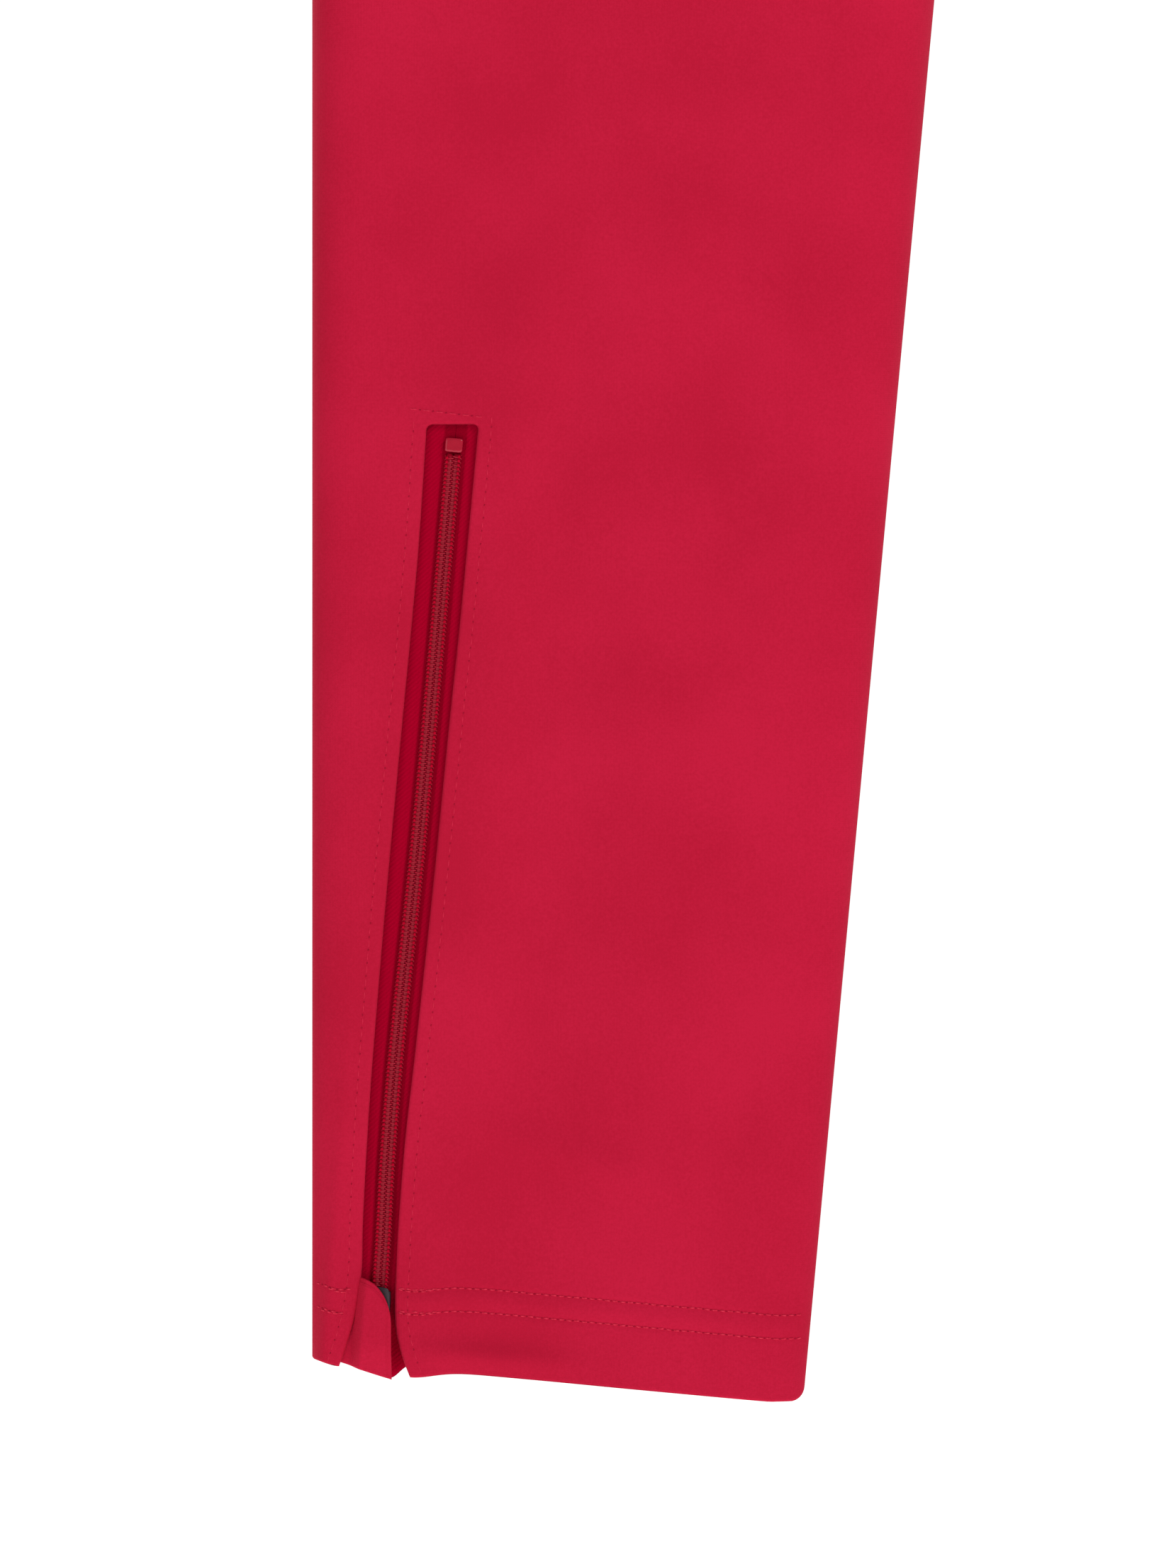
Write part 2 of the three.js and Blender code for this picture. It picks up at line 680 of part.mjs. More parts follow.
for (const [side, leg] of [[1, 'left'], [-1, 'right']]) {
  const frame = zipFrame(side);
  add(trousers, `front_leg_panel_${leg}`, frontPanel(side, frame), knit);
  add(trousers, `back_leg_panel_${leg}`, legPanel(1, side, BACK_COLUMNS, backLevels), knit);

  const zip = new THREE.Group();
  zip.applyMatrix4(frame);
  add(zip, `zip_tape_inner_${leg}`, zipTape(-side, TAPE_EDGE_AT_HEM), tapeWeave);
  add(zip, `zip_tape_outer_${leg}`, zipTape(side, LANE / 2 + TAPE_WIDTH), tapeWeave);
  add(zip, `zip_coil_inner_${leg}`, zipCoil(-side), nylon);
  add(zip, `zip_coil_outer_${leg}`, zipCoil(side), nylon);
  add(zip, `zip_bottom_stop_${leg}`, bottomStop(), redEnamel);
  add(zip, `zip_top_stop_inner_${leg}`, topStop(-side), redEnamel);
  add(zip, `zip_top_stop_outer_${leg}`, topStop(side), redEnamel);
  add(zip, `zip_slider_${leg}`, zipSlider(), gunmetal);
  add(zip, `zip_puller_${leg}`, zipPuller(), gunmetal);
  add(zip, `zip_garage_flap_${leg}`, garageFlap(side), knit);
  trousers.add(zip);

  add(trousers, `drawcord_eyelet_${leg}`, eyelet(side), gunmetal);
}

add(trousers, 'waistband', waistband(), knit);
add(trousers, 'waist_elastic', elasticRing(), elasticWeb);
add(trousers, 'care_label', careLabel(), satin);

export default trousers;
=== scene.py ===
# %% [markdown]
# # Training trousers with ankle zips
# A pair of plain crimson knit trousers, held up by the waist so that the legs hang flat. Each ankle
# has a coil zip let into its front, and a soft flap at the hem covers the closed slider.
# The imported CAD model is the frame: it fixes where each piece is and what moves. Every soft piece
# below is worked out again, finer, round that frame.

# %% Load the frame
import json
import math

import bpy
import numpy as np
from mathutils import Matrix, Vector


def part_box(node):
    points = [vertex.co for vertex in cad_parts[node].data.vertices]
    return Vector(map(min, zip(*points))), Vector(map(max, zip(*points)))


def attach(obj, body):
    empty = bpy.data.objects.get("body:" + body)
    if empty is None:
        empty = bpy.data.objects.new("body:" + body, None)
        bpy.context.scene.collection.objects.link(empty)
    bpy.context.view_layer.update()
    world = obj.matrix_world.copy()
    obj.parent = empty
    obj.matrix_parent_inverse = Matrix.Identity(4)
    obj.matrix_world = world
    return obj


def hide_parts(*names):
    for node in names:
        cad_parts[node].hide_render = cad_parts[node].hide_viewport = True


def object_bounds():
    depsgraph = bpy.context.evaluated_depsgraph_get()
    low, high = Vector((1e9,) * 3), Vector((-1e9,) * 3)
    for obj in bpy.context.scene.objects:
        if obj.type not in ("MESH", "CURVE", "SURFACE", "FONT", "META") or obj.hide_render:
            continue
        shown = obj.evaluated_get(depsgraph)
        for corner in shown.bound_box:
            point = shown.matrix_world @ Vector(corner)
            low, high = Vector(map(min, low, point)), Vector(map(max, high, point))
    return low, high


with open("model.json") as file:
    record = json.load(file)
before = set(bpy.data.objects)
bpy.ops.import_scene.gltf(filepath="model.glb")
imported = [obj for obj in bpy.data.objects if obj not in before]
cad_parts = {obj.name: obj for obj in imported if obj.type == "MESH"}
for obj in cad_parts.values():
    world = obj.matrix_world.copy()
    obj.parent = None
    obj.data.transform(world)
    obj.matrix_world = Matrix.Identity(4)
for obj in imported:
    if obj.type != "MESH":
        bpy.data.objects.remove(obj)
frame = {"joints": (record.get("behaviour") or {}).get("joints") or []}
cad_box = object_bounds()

MM = 0.001
JOINTS = {joint["name"]: joint for joint in frame["joints"]}
LEGS = (("left", 1), ("right", -1))
SEEDS = {"left": 11, "right": 12}

# %% [markdown]
# ## Small tools
# A piece here is a sheet of points on a grid. One helper turns such a grid into a mesh, and keeps
# the two numbers that say where each point lies on the flat cloth as a UV map, in metres, so that a
# knit or weave follows the cloth. All sizes are worked out in millimetres and stored in metres.

# %% Grid to mesh
def stacked(*parts):
    """Points from their coordinates, which are numbers or arrays that fit together."""
    return np.stack(np.broadcast_arrays(*parts), axis=-1)


def full_turn(count):
    """That many angles, evenly round."""
    return np.linspace(0, 2 * math.pi, count, endpoint=False)


def side_faces(ring):
    """Faces between the rows of a tube's point numbers, each row joined round."""
    after = np.roll(ring, -1, axis=1)
    return stacked(ring[:-1], after[:-1], after[1:], ring[1:]).reshape(-1, 4)


def grid_object(name, points, flat=None, keep=None, outward=None, wrap=False):
    """Joins each four neighbours of a (rows, columns, 3) grid in millimetres into a face. keep drops
    cells, wrap joins the last column to the first, and outward, a rough direction or a point to face
    away from given as a function of the cell centres, decides which way round the faces go."""
    rows, columns = points.shape[:2]
    index = np.arange(rows * columns).reshape(rows, columns)
    if wrap:
        index = np.concatenate([index, index[:, :1]], axis=1)
    faces = stacked(index[:-1, :-1], index[:-1, 1:], index[1:, 1:], index[1:, :-1])
    if keep is not None:
        faces = faces[keep]
    faces = faces.reshape(-1, 4)
    flat_points = points.reshape(-1, 3)
    if outward is not None:
        corners = flat_points[faces]
        normal = np.cross(corners[:, 2] - corners[:, 0], corners[:, 3] - corners[:, 1])
        facing = (normal * outward(corners.mean(axis=1))).sum()
        if facing < 0:
            faces = faces[:, ::-1]
    used = np.unique(faces)
    renumber = np.full(rows * columns, -1)
    renumber[used] = np.arange(len(used))
    return mesh_object(name, flat_points[used], renumber[faces], None if flat is None else
                       flat.reshape(-1, 2)[used])


def mesh_object(name, points, faces, flat=None):
    """A mesh from points in millimetres and faces of one size, smooth, with flat as its UV map."""
    faces = np.asarray(faces, np.int32)
    mesh = bpy.data.meshes.new(name)
    mesh.vertices.add(len(points))
    mesh.vertices.foreach_set("co", (np.asarray(points, float) * MM).ravel())
    mesh.loops.add(faces.size)
    mesh.loops.foreach_set("vertex_index", faces.ravel())
    mesh.polygons.add(len(faces))
    mesh.polygons.foreach_set("loop_start", np.arange(len(faces)) * faces.shape[1])
    mesh.update(calc_edges=True)
    mesh.shade_smooth()
    if flat is not None:
        layer = mesh.uv_layers.new(name="flat")
        layer.data.foreach_set("uv", (flat[faces.ravel()] * MM).ravel())
    thing = bpy.data.objects.new(name, mesh)
    bpy.context.scene.collection.objects.link(thing)
    return thing


def outwards(points, faces):
    """The points and faces of a closed shape, all turned round if they enclose a negative volume."""
    corners = points[faces]
    volume = (corners[:, 0] * np.cross(corners[:, 1], corners[:, 2])).sum()
    volume += (corners[:, 0] * np.cross(corners[:, 2], corners[:, 3])).sum()
    return points, faces if volume > 0 else faces[:, ::-1]


def joined(rows):
    """Several sets of points and faces as one."""
    points, faces, start = [], [], 0
    for row_points, row_faces in rows:
        points.append(row_points)
        faces.append(row_faces + start)
        start += len(row_points)
    return np.concatenate(points), np.concatenate(faces)


def unit(vectors):
    return vectors / np.linalg.norm(vectors, axis=-1, keepdims=True)


def thicken(thing, thickness):
    """Gives a sheet its cloth's thickness, in millimetres, behind its outer face."""
    solid = thing.modifiers.new("cloth_thickness", "SOLIDIFY")
    solid.thickness = thickness * MM
    solid.offset = -1
    return thing


def belongs(piece, node, body="garment"):
    """Says which body a piece moves with and which CAD node it stands in for, if any, and hides that
    node."""
    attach(piece, body)
    if node:
        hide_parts(node)


# %% [markdown]
# ## Colours and nodes
# Colours are written as sRGB hex. Blender's shaders want linear light, so one function turns them.
# One more function adds any node, sets its values and joins its inputs, and the rest are the few
# steps that most of the finishes below share: a sum, noise, a blend of two colours and a relief.

# %% Colour and node helpers
def linear(hex_colour):
    """An sRGB hex colour as linear red, green, blue and an alpha of 1."""
    channels = [int(hex_colour[i:i + 2], 16) / 255 for i in (1, 3, 5)]
    return tuple(c / 12.92 if c <= 0.04045 else ((c + 0.055) / 1.055) ** 2.4 for c in channels) + (1.0,)


def add(tree, kind, settings=None, inputs=None):
    """Adds a node of that kind. settings are its own properties. inputs are values, or sockets of
    other nodes to link from."""
    node = tree.nodes.new(kind)
    for key, value in (settings or {}).items():
        setattr(node, key, value)
    for key, value in (inputs or {}).items():
        if isinstance(value, bpy.types.NodeSocket):
            tree.links.new(value, node.inputs[key])
        else:
            node.inputs[key].default_value = value
    return node


def new_material(name, sockets):
    """A node material with one Principled shader whose plain sockets are set to the values given."""
    material = bpy.data.materials.new(name)
    material.use_nodes = True
    tree = material.node_tree
    tree.nodes.clear()
    shader = add(tree, "ShaderNodeBsdfPrincipled", inputs=sockets)
    add(tree, "ShaderNodeOutputMaterial", inputs={"Surface": shader.outputs["BSDF"]})
    return material, tree, shader


def plug(tree, shader, key, socket):
    tree.links.new(socket, shader.inputs[key])


def math_node(tree, operation, first, second=0.0, third=0.0):
    """One sum of two or three numbers or sockets."""
    node = add(tree, "ShaderNodeMath", {"operation": operation}, {0: first, 1: second, 2: third})
    return node.outputs[0]


def object_place(tree):
    """The place in the object's own metres."""
    return add(tree, "ShaderNodeTexCoord").outputs["Object"]


def noise(tree, scale, detail):
    """Noise with that many grains a metre."""
    return add(tree, "ShaderNodeTexNoise",
               inputs={"Vector": object_place(tree), "Scale": scale, "Detail": detail}).outputs[0]


def mix(tree, share, first, second):
    """A blend of two colours. The first may also be a socket."""
    start = linear(first) if isinstance(first, str) else first
    return add(tree, "ShaderNodeMix", {"data_type": "RGBA"},
               {0: share, 6: start, 7: linear(second)}).outputs[2]


def emboss(tree, shader, height, strength, depth):
    """A relief of that depth in millimetres on the shader's surface."""
    relief = add(tree, "ShaderNodeBump",
                 inputs={"Strength": strength, "Distance": depth * MM, "Height": height})
    plug(tree, shader, "Normal", relief.outputs[0])


# %% [markdown]
# ## The shape of a leg
# A leg that hangs flat is a flattened tube. Its outline is a straight inner edge, an outer edge that
# leans out by 5.35 degrees, and curves from the knee up to the crotch, hips and waist. Its depth at
# a point is the half depth at that height times a rounded lens across the width. These are the same
# few driving sizes as the CAD model's, so the fine cloth lies on the frame.

# %% Driving sizes, in millimetres
cad_low, cad_high = (np.array(corner) / MM for corner in cad_box)
OUTSEAM = cad_high[2] - cad_low[2]
BAND_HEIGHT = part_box("waistband")[1][2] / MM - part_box("waistband")[0][2] / MM
WAIST_HALF_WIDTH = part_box("waistband")[1][0] / MM
WAIST_HALF_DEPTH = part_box("waistband")[1][1] / MM
CROTCH_HEIGHT = OUTSEAM - 250.0
BAND_FOOT = OUTSEAM - BAND_HEIGHT - 0.3
LEG_INSET = 57.0
HEM_WIDTH = 167.0
FLARE = math.tan(math.radians(5.35))
SPREAD_START = 490.0
CLOTH = 0.7
print("outseam", round(OUTSEAM, 1), "waist", round(WAIST_HALF_WIDTH, 1), "x", round(WAIST_HALF_DEPTH, 1))


# %% Outline and depth
def through(pairs):
    """A smooth curve through (level, value) pairs: a cubic between each two, whose slope at a pair is
    the slope between that pair's neighbours."""
    at, value = np.array(pairs, float).T
    last = len(at) - 1
    before = np.maximum(np.arange(last + 1) - 1, 0)
    after = np.minimum(np.arange(last + 1) + 1, last)
    slope = (value[after] - value[before]) / (at[after] - at[before])

    def curve(level):
        i = np.clip(np.searchsorted(at, level, side="right") - 1, 0, last - 1)
        span = at[i + 1] - at[i]
        s = np.clip((level - at[i]) / span, 0, 1)
        rise = s * s * (3 - 2 * s)
        bend = s * (1 - s) ** 2 * slope[i] + s * s * (s - 1) * slope[i + 1]
        return value[i] + (value[i + 1] - value[i]) * rise + bend * span

    return curve


def smooth(value, low, high):
    """0 below low, 1 above high, and an S between."""
    s = np.clip((value - low) / (high - low), 0, 1)
    return s * s * (3 - 2 * s)


def bump(value, middle, width):
    """A bell of height 1."""
    return np.exp(-((value - middle) / width) ** 2)


def outer_line(height):
    return LEG_INSET + HEM_WIDTH + FLARE * height


outer_at = through([
    (0, outer_line(0)), (475, outer_line(475)), (620, outer_line(620)),
    (712, 286), (850, 266), (BAND_FOOT - 60, (WAIST_HALF_WIDTH + 266) / 2),
    (BAND_FOOT, WAIST_HALF_WIDTH),
])
depth_at = through([
    (0, 12), (475, 22), (CROTCH_HEIGHT - 60, 42), (880, 60), (BAND_FOOT, WAIST_HALF_DEPTH),
])
fold_at = through([(0, 6), (300, 8.5), (475, 11), (CROTCH_HEIGHT, 3), (BAND_FOOT, 2)])


def inner_at(height):
    """Straight up to above the knee, then in to the middle along a parabola."""
    reach = np.clip((height - SPREAD_START) / (CROTCH_HEIGHT - SPREAD_START), 0, 1)
    return np.maximum(LEG_INSET * (1 - reach ** 2), 0.15)


def plain_depth(share, height):
    """Half depth times the square root of 1 minus a power of how far the point is from the middle."""
    rise = smooth(height, CROTCH_HEIGHT, CROTCH_HEIGHT + 110)
    soft = 0.12
    tube = (np.hypot(2 * share - 1, soft) - soft) / (math.hypot(1, soft) - soft)
    reach = tube + (share - tube) * rise
    return depth_at(height) * np.sqrt(np.maximum(1 - reach ** fold_at(height), 0))


# %% [markdown]
# ## The zip's own frame
# The joints of the frame say how the slider runs and how its puller swings, and that is all that is
# needed to place everything else on the zip: one direction up the chain, one across it and one into
# the leg, from a point on the tape's face at the coil's lower end.

# %% Zip frame from the joints
# The hinge's distance along the chain and off the tape, the cloth's off the tape, and the chain's length.
HINGE_ALONG = 7.9
HINGE_OFF = 3.9
PANEL_OFF = 3.1
CHAIN = 297.0


def zip_frame(leg, side):
    """The frame's origin and its three directions, with across pointing to the outseam."""
    along = np.array(JOINTS["zip_slide_" + leg]["axis"])
    along = along / np.linalg.norm(along)
    across = -side * np.array(JOINTS["puller_swing_" + leg]["axis"])
    across = across / np.linalg.norm(across)
    inward = np.cross(along, across) * side
    hinge = np.array(JOINTS["puller_swing_" + leg]["pos_m"]) / MM
    return hinge - along * HINGE_ALONG + inward * HINGE_OFF, across, inward, along


FRAMES = {leg: zip_frame(leg, side) for leg, side in LEGS}
ZIP_FOOT, ZIP_ACROSS, ZIP_IN, ZIP_UP = FRAMES["left"]
SLANT = ZIP_UP[0] / ZIP_UP[2]
LEAN = -ZIP_UP[1] / ZIP_UP[2]
TURN = -ZIP_ACROSS[1] / ZIP_ACROSS[0]
FACE_FOOT = ZIP_FOOT - ZIP_IN * PANEL_OFF
FOOT_HEIGHT = FACE_FOOT[2] + OUTSEAM


def on_zip(leg, across, off, along):
    """Points given across the chain, off the tape towards the front, and up the chain."""
    origin, x, y, z = FRAMES[leg]
    across, off, along = np.broadcast_arrays(across, off, along)
    return origin + across[..., None] * x - off[..., None] * y + along[..., None] * z


def chain_bow(along):
    """The sewn chain isn't quite straight: it bows a millimetre and a half towards the inseam."""
    return -1.5 * bump(along, 84, 60) * smooth(along, 10, 55)


def chain_x(height):
    return FACE_FOOT[0] + SLANT * (height - FOOT_HEIGHT)


def chain_depth(height):
    return -FACE_FOOT[1] + LEAN * (height - FOOT_HEIGHT)


print("zip foot", np.round(ZIP_FOOT, 2), "slant", round(math.degrees(math.atan(SLANT)), 2))


# %% [markdown]
# ## Front panels
# On the real garment the front is one knit piece. It is turned in round the zip's window and turned
# up at the hem. A flat grid with a boolean hole would leave ragged edges, so the grid's columns
# follow the window's two edges instead, and the cells between them are left out below its top. The
# last millimetre at each edge curls inwards, which is what makes a turned edge look soft.

# %% Window edges and hem line
WINDOW_TOP = 331.4
window_inner = through([
    (9, 8.6), (12.7, 9.5), (15.1, 10.4), (27.4, 14.3), (38.4, 16.4), (46, 17.2), (60, 17.5),
    (89, 19.0), (118, 21.0), (175, 25.8), (233, 31.2), (262, 34.0), (290, 36.5), (WINDOW_TOP, 39.3),
])
window_outer = through([
    (9, 33.4), (15.6, 30.9), (26.4, 28.4), (38.4, 28.4), (46, 28.8), (60, 29.5), (89, 31.8),
    (118, 35.1), (175, 41.3), (233, 47.1), (262, 50.2), (290, 52.9), (WINDOW_TOP, 56.8),
])


def hem_edge(across, zipped=1):
    """The hem's height: square to the outer edge, a little low beside the zip's mouth, and rounded
    up at the outer corner. across is measured from the inner edge. The back isn't zipped."""
    line = FLARE * (HEM_WIDTH - across) - 0.9
    beside = zipped * np.where(across > 20, -3.0 * bump(across, 33, 11), -1.6 * bump(across, 9, 6))
    outer = np.clip((across - HEM_WIDTH + 4.5) / 4.5, 0, 1)
    inner = np.clip(1 - across, 0, 1)
    corner = 4.5 * (1 - np.sqrt(1 - outer ** 2)) + 0.8 * (1 - np.sqrt(1 - inner ** 2))
    return np.maximum(line, 0.2) + beside + corner


# %% Soft unevenness of hanging cloth
def creases(across, height, seed):
    """A sum of fourteen long waves with seeded directions and phases, most of them running down the
    leg, in millimetres off the smooth shape. They are slight on the shin, stronger on the thigh,
    where more cloth hangs loose, and die out under the waistband."""
    dice = np.random.default_rng(seed)
    total = np.zeros(np.broadcast(across, height).shape)
    for _ in range(14):
        length = dice.uniform(38, 150)
        lean = dice.normal(0, 0.55)
        phase = dice.uniform(0, 2 * math.pi)
        run = (across * math.cos(lean) + 0.45 * height * math.sin(lean)) / length
        total += length / 150 * np.sin(2 * math.pi * run + phase + 0.6 * np.sin(height / 90 + phase))
    looseness = 0.34 + 0.42 * smooth(height, 440, 760)
    return total * looseness * (1 - smooth(height, BAND_FOOT - 50, BAND_FOOT - 4))


def soft_fold(across, height, at, lean, reach, width, rise):
    """One soft ridge: a bell of height rise across its line, which runs at lean degrees through the
    point at, and dies out over its reach."""
    c, n = math.cos(math.radians(lean)), math.sin(math.radians(lean))
    dx, dh = across - at[0], height - at[1]
    return rise * bump(dx * c + dh * n, 0, reach) * bump(dh * c - dx * n, 0, width)


# Each fold at the crotch: its lean in degrees, how far out it starts and how high it stands, in mm.
HIP_FOLDS = ((8, 40, 2.2), (27, 60, 2.6), (48, 80, 2.0), (-22, 45, 2.0), (-44, 70, 2.4))


def hip_folds(across, height):
    """Creases that fan out from the crotch, where the two legs pull against each other."""
    total = 0
    for lean, start, rise in HIP_FOLDS:
        c, n = math.cos(math.radians(lean)), math.sin(math.radians(lean))
        at = (start * c, CROTCH_HEIGHT + start * n)
        total = total + soft_fold(across, height, at, lean, 75, 8, rise)
    return total


def gathers(across, height, seed):
    """Small pleats under the waistband, which fade out down the hip."""
    dice = np.random.default_rng(seed)
    fade = smooth(height, BAND_FOOT - 150, BAND_FOOT) ** 1.6
    fade = fade * (1 - 0.6 * smooth(height, BAND_FOOT - 5, BAND_FOOT))
    total = 0
    for pitch in (9.5, 13.0, 21.0):
        total = total + np.sin(2 * math.pi * across / pitch + dice.uniform(0, 6.3)) * pitch / 13
    return 0.75 * fade * total


# %% The front's surface
# Each soft fold of the shin: the point it runs through, its lean in degrees, its reach, width and
# rise in millimetres. The first is the one that lies across the hem.
SHIN_FOLDS = (
    ((58, 15.6), -5, 28, 4.4, 2.3), ((88, 84), -19, 38, 6, 0.8), ((12, 262), 76, 60, 5, 0.6),
    ((8, 190), 62, 40, 4, 0.5), ((84, 250), 82, 90, 9, 0.5), ((132, 120), 84, 70, 8, 0.5),
    ((120, 380), 70, 90, 14, 0.9), ((44, 420), 96, 80, 10, 0.6),
)
# The hem's two stitch rows outside and inside the zip, how far they pull the cloth in and let it puff.
ROW_LOW, ROW_HIGH = 21.4, 29.4
INNER_ROW_LOW, INNER_ROW_HIGH = 18.4, 26.4
ROW_HALF = 0.9
ROW_PULL = 0.32
ROW_PUFF = 0.35
# How far outside the window's edge its own row runs.
EDGE_ROW = 4.5
# How far from the chain the cloth lies in the zip's plane, and where it is the leg's own shape again.
ZIP_FLAT = 15.3
ZIP_ROOM_INNER, ZIP_ROOM_OUTER = 21.0, 40.0
ZIP_FLAT_TOP, ZIP_ROOM_TOP = 346, 416


def row_groove(level, low, high):
    """1 on each of two stitch rows, falling to 0 beside them."""
    return bump(level, low, ROW_HALF) + bump(level, high, ROW_HALF)


def loose_cloth(across, height, seed):
    """Everything that the cloth's own slack adds to the smooth shape."""
    return creases(across, height, seed) + gathers(across, height, seed) + hip_folds(across, height)


def rounded_rim(share):
    """1 over most of a panel, falling to 0 at its two folds."""
    return np.sqrt(np.clip(4 * share * (1 - share), 0, 1))


def front_depth(across, height, level, seed):
    """Half depth of the front face. Round the chain it is the zip's own plane, and elsewhere the
    leg's lens with soft creases. A low ridge stands over the window's top, where the seam turns in.
    Stitch rows pull the cloth in by a third of a millimetre, and it puffs up between them."""
    low, high = inner_at(height), outer_at(height)
    share = np.clip(across / (high - low), 0, 1)
    x = low + across
    reach = np.abs(x - chain_x(height))
    room = np.where(x < chain_x(height), ZIP_ROOM_INNER, ZIP_ROOM_OUTER)
    near = (1 - smooth(reach, ZIP_FLAT, room)) * (1 - smooth(height, ZIP_FLAT_TOP, ZIP_ROOM_TOP))
    flat = chain_depth(height) + TURN * (x - chain_x(height))
    rim = rounded_rim(share)
    plain = plain_depth(share, height) + loose_cloth(across, height, seed) * rim
    depth = plain + (flat + 0.35 * creases(across, height, seed) - plain) * near
    ridge = 0.45 * bump(height, WINDOW_TOP + 2.4, 1.3)
    ridge = ridge * smooth(across, 33, 38) * (1 - smooth(across, 57, 62))
    folds = ridge + sum(soft_fold(across, height, *fold) for fold in SHIN_FOLDS)
    depth = depth + folds * rim * smooth(reach, 9, 19) - rise_seam(across, height)
    beyond = across > window_outer(height)
    rows = np.where(beyond, row_groove(level, ROW_LOW, ROW_HIGH),
                    row_groove(level, INNER_ROW_LOW, INNER_ROW_HIGH))
    pulled = ROW_PULL * rows * rim
    puffed = ROW_PUFF * bump(level, (ROW_LOW + ROW_HIGH) / 2, 2.4) * rim
    return depth - pulled + puffed


def band_tuck(height):
    """How far a panel's top goes in, to be sewn inside the waistband."""
    return 1.7 * smooth(height, BAND_FOOT - 0.5, BAND_FOOT + 1.5)


def rise_seam(across, height):
    """The groove of the seam between the two legs' cloth, from the crotch up."""
    return 0.9 * bump(across, 0, 1.5) * smooth(height, CROTCH_HEIGHT, CROTCH_HEIGHT + 25)


def edge_curl(gap, radius):
    """How far a turned edge has dropped at a distance from the edge: a quarter circle."""
    inside = np.clip(1 - gap / radius, 0, 1)
    return radius * (1 - np.sqrt(1 - inside ** 2))


# %% Rows and columns of the front
def stepped(*stretches):
    """Values along a line: each stretch is (from, to, number of steps)."""
    parts = [np.linspace(a, b, n, endpoint=False) for a, b, n in stretches]
    return np.append(np.concatenate(parts), stretches[-1][1])


# Where the hem's slant has faded out, a first guess of its rise, and how much shorter the back is.
HEM_FADE = 330
HEM_RISE = 8.0
BACK_SHORT = 0.4
TOP_LEVELS = ((940, BAND_FOOT - 1, 26), (BAND_FOOT - 1, BAND_FOOT + 2, 5), (BAND_FOOT + 2, BAND_FOOT + 9, 3))
CORNER = 1.8
CORNER_LEVELS = WINDOW_TOP - CORNER + CORNER * np.sin(np.linspace(0, math.pi / 2, 9))
FRONT_LEVELS = np.concatenate([
    stepped((0, 1.2, 5), (1.2, 16, 8), (16, 32, 32), (32, 46, 7), (46, 318, 88),
            (318, WINDOW_TOP - CORNER, 8))[:-1],
    CORNER_LEVELS,
    stepped((WINDOW_TOP, WINDOW_TOP + 1.2, 4), (WINDOW_TOP + 1.2, 345, 12), (345, 700, 60),
            (700, 940, 48), *TOP_LEVELS)[1:],
])
# The hem's turned-up layer, from its raw edge down to the fold: level and how far inside it lies.
HEM_TURN = np.array([(level, 1.5) for level in range(30, 1, -2)] + [(0.6, 1.35), (0.15, 0.95)])


def curved_steps(count, start_power, end_power):
    """Shares from 0 to 1, crowded towards both ends."""
    s = np.linspace(0, 1, count)
    return s ** start_power * (1 - s) + (1 - (1 - s) ** end_power) * s


INNER_COLUMNS = curved_steps(24, 2.0, 2.6)
WINDOW_COLUMNS = np.linspace(0, 1, 12)[1:-1]
OUTER_COLUMNS = curved_steps(72, 2.2, 2.0)
NO_INNER, NO_WINDOW, NO_OUTER = (0 * c for c in (INNER_COLUMNS, WINDOW_COLUMNS, OUTER_COLUMNS))
OF_LEFT = np.concatenate([INNER_COLUMNS, 1 - WINDOW_COLUMNS, NO_OUTER])
OF_RIGHT = np.concatenate([NO_INNER, WINDOW_COLUMNS, 1 - OUTER_COLUMNS])
OF_WIDTH = np.concatenate([NO_INNER, NO_WINDOW, OUTER_COLUMNS])


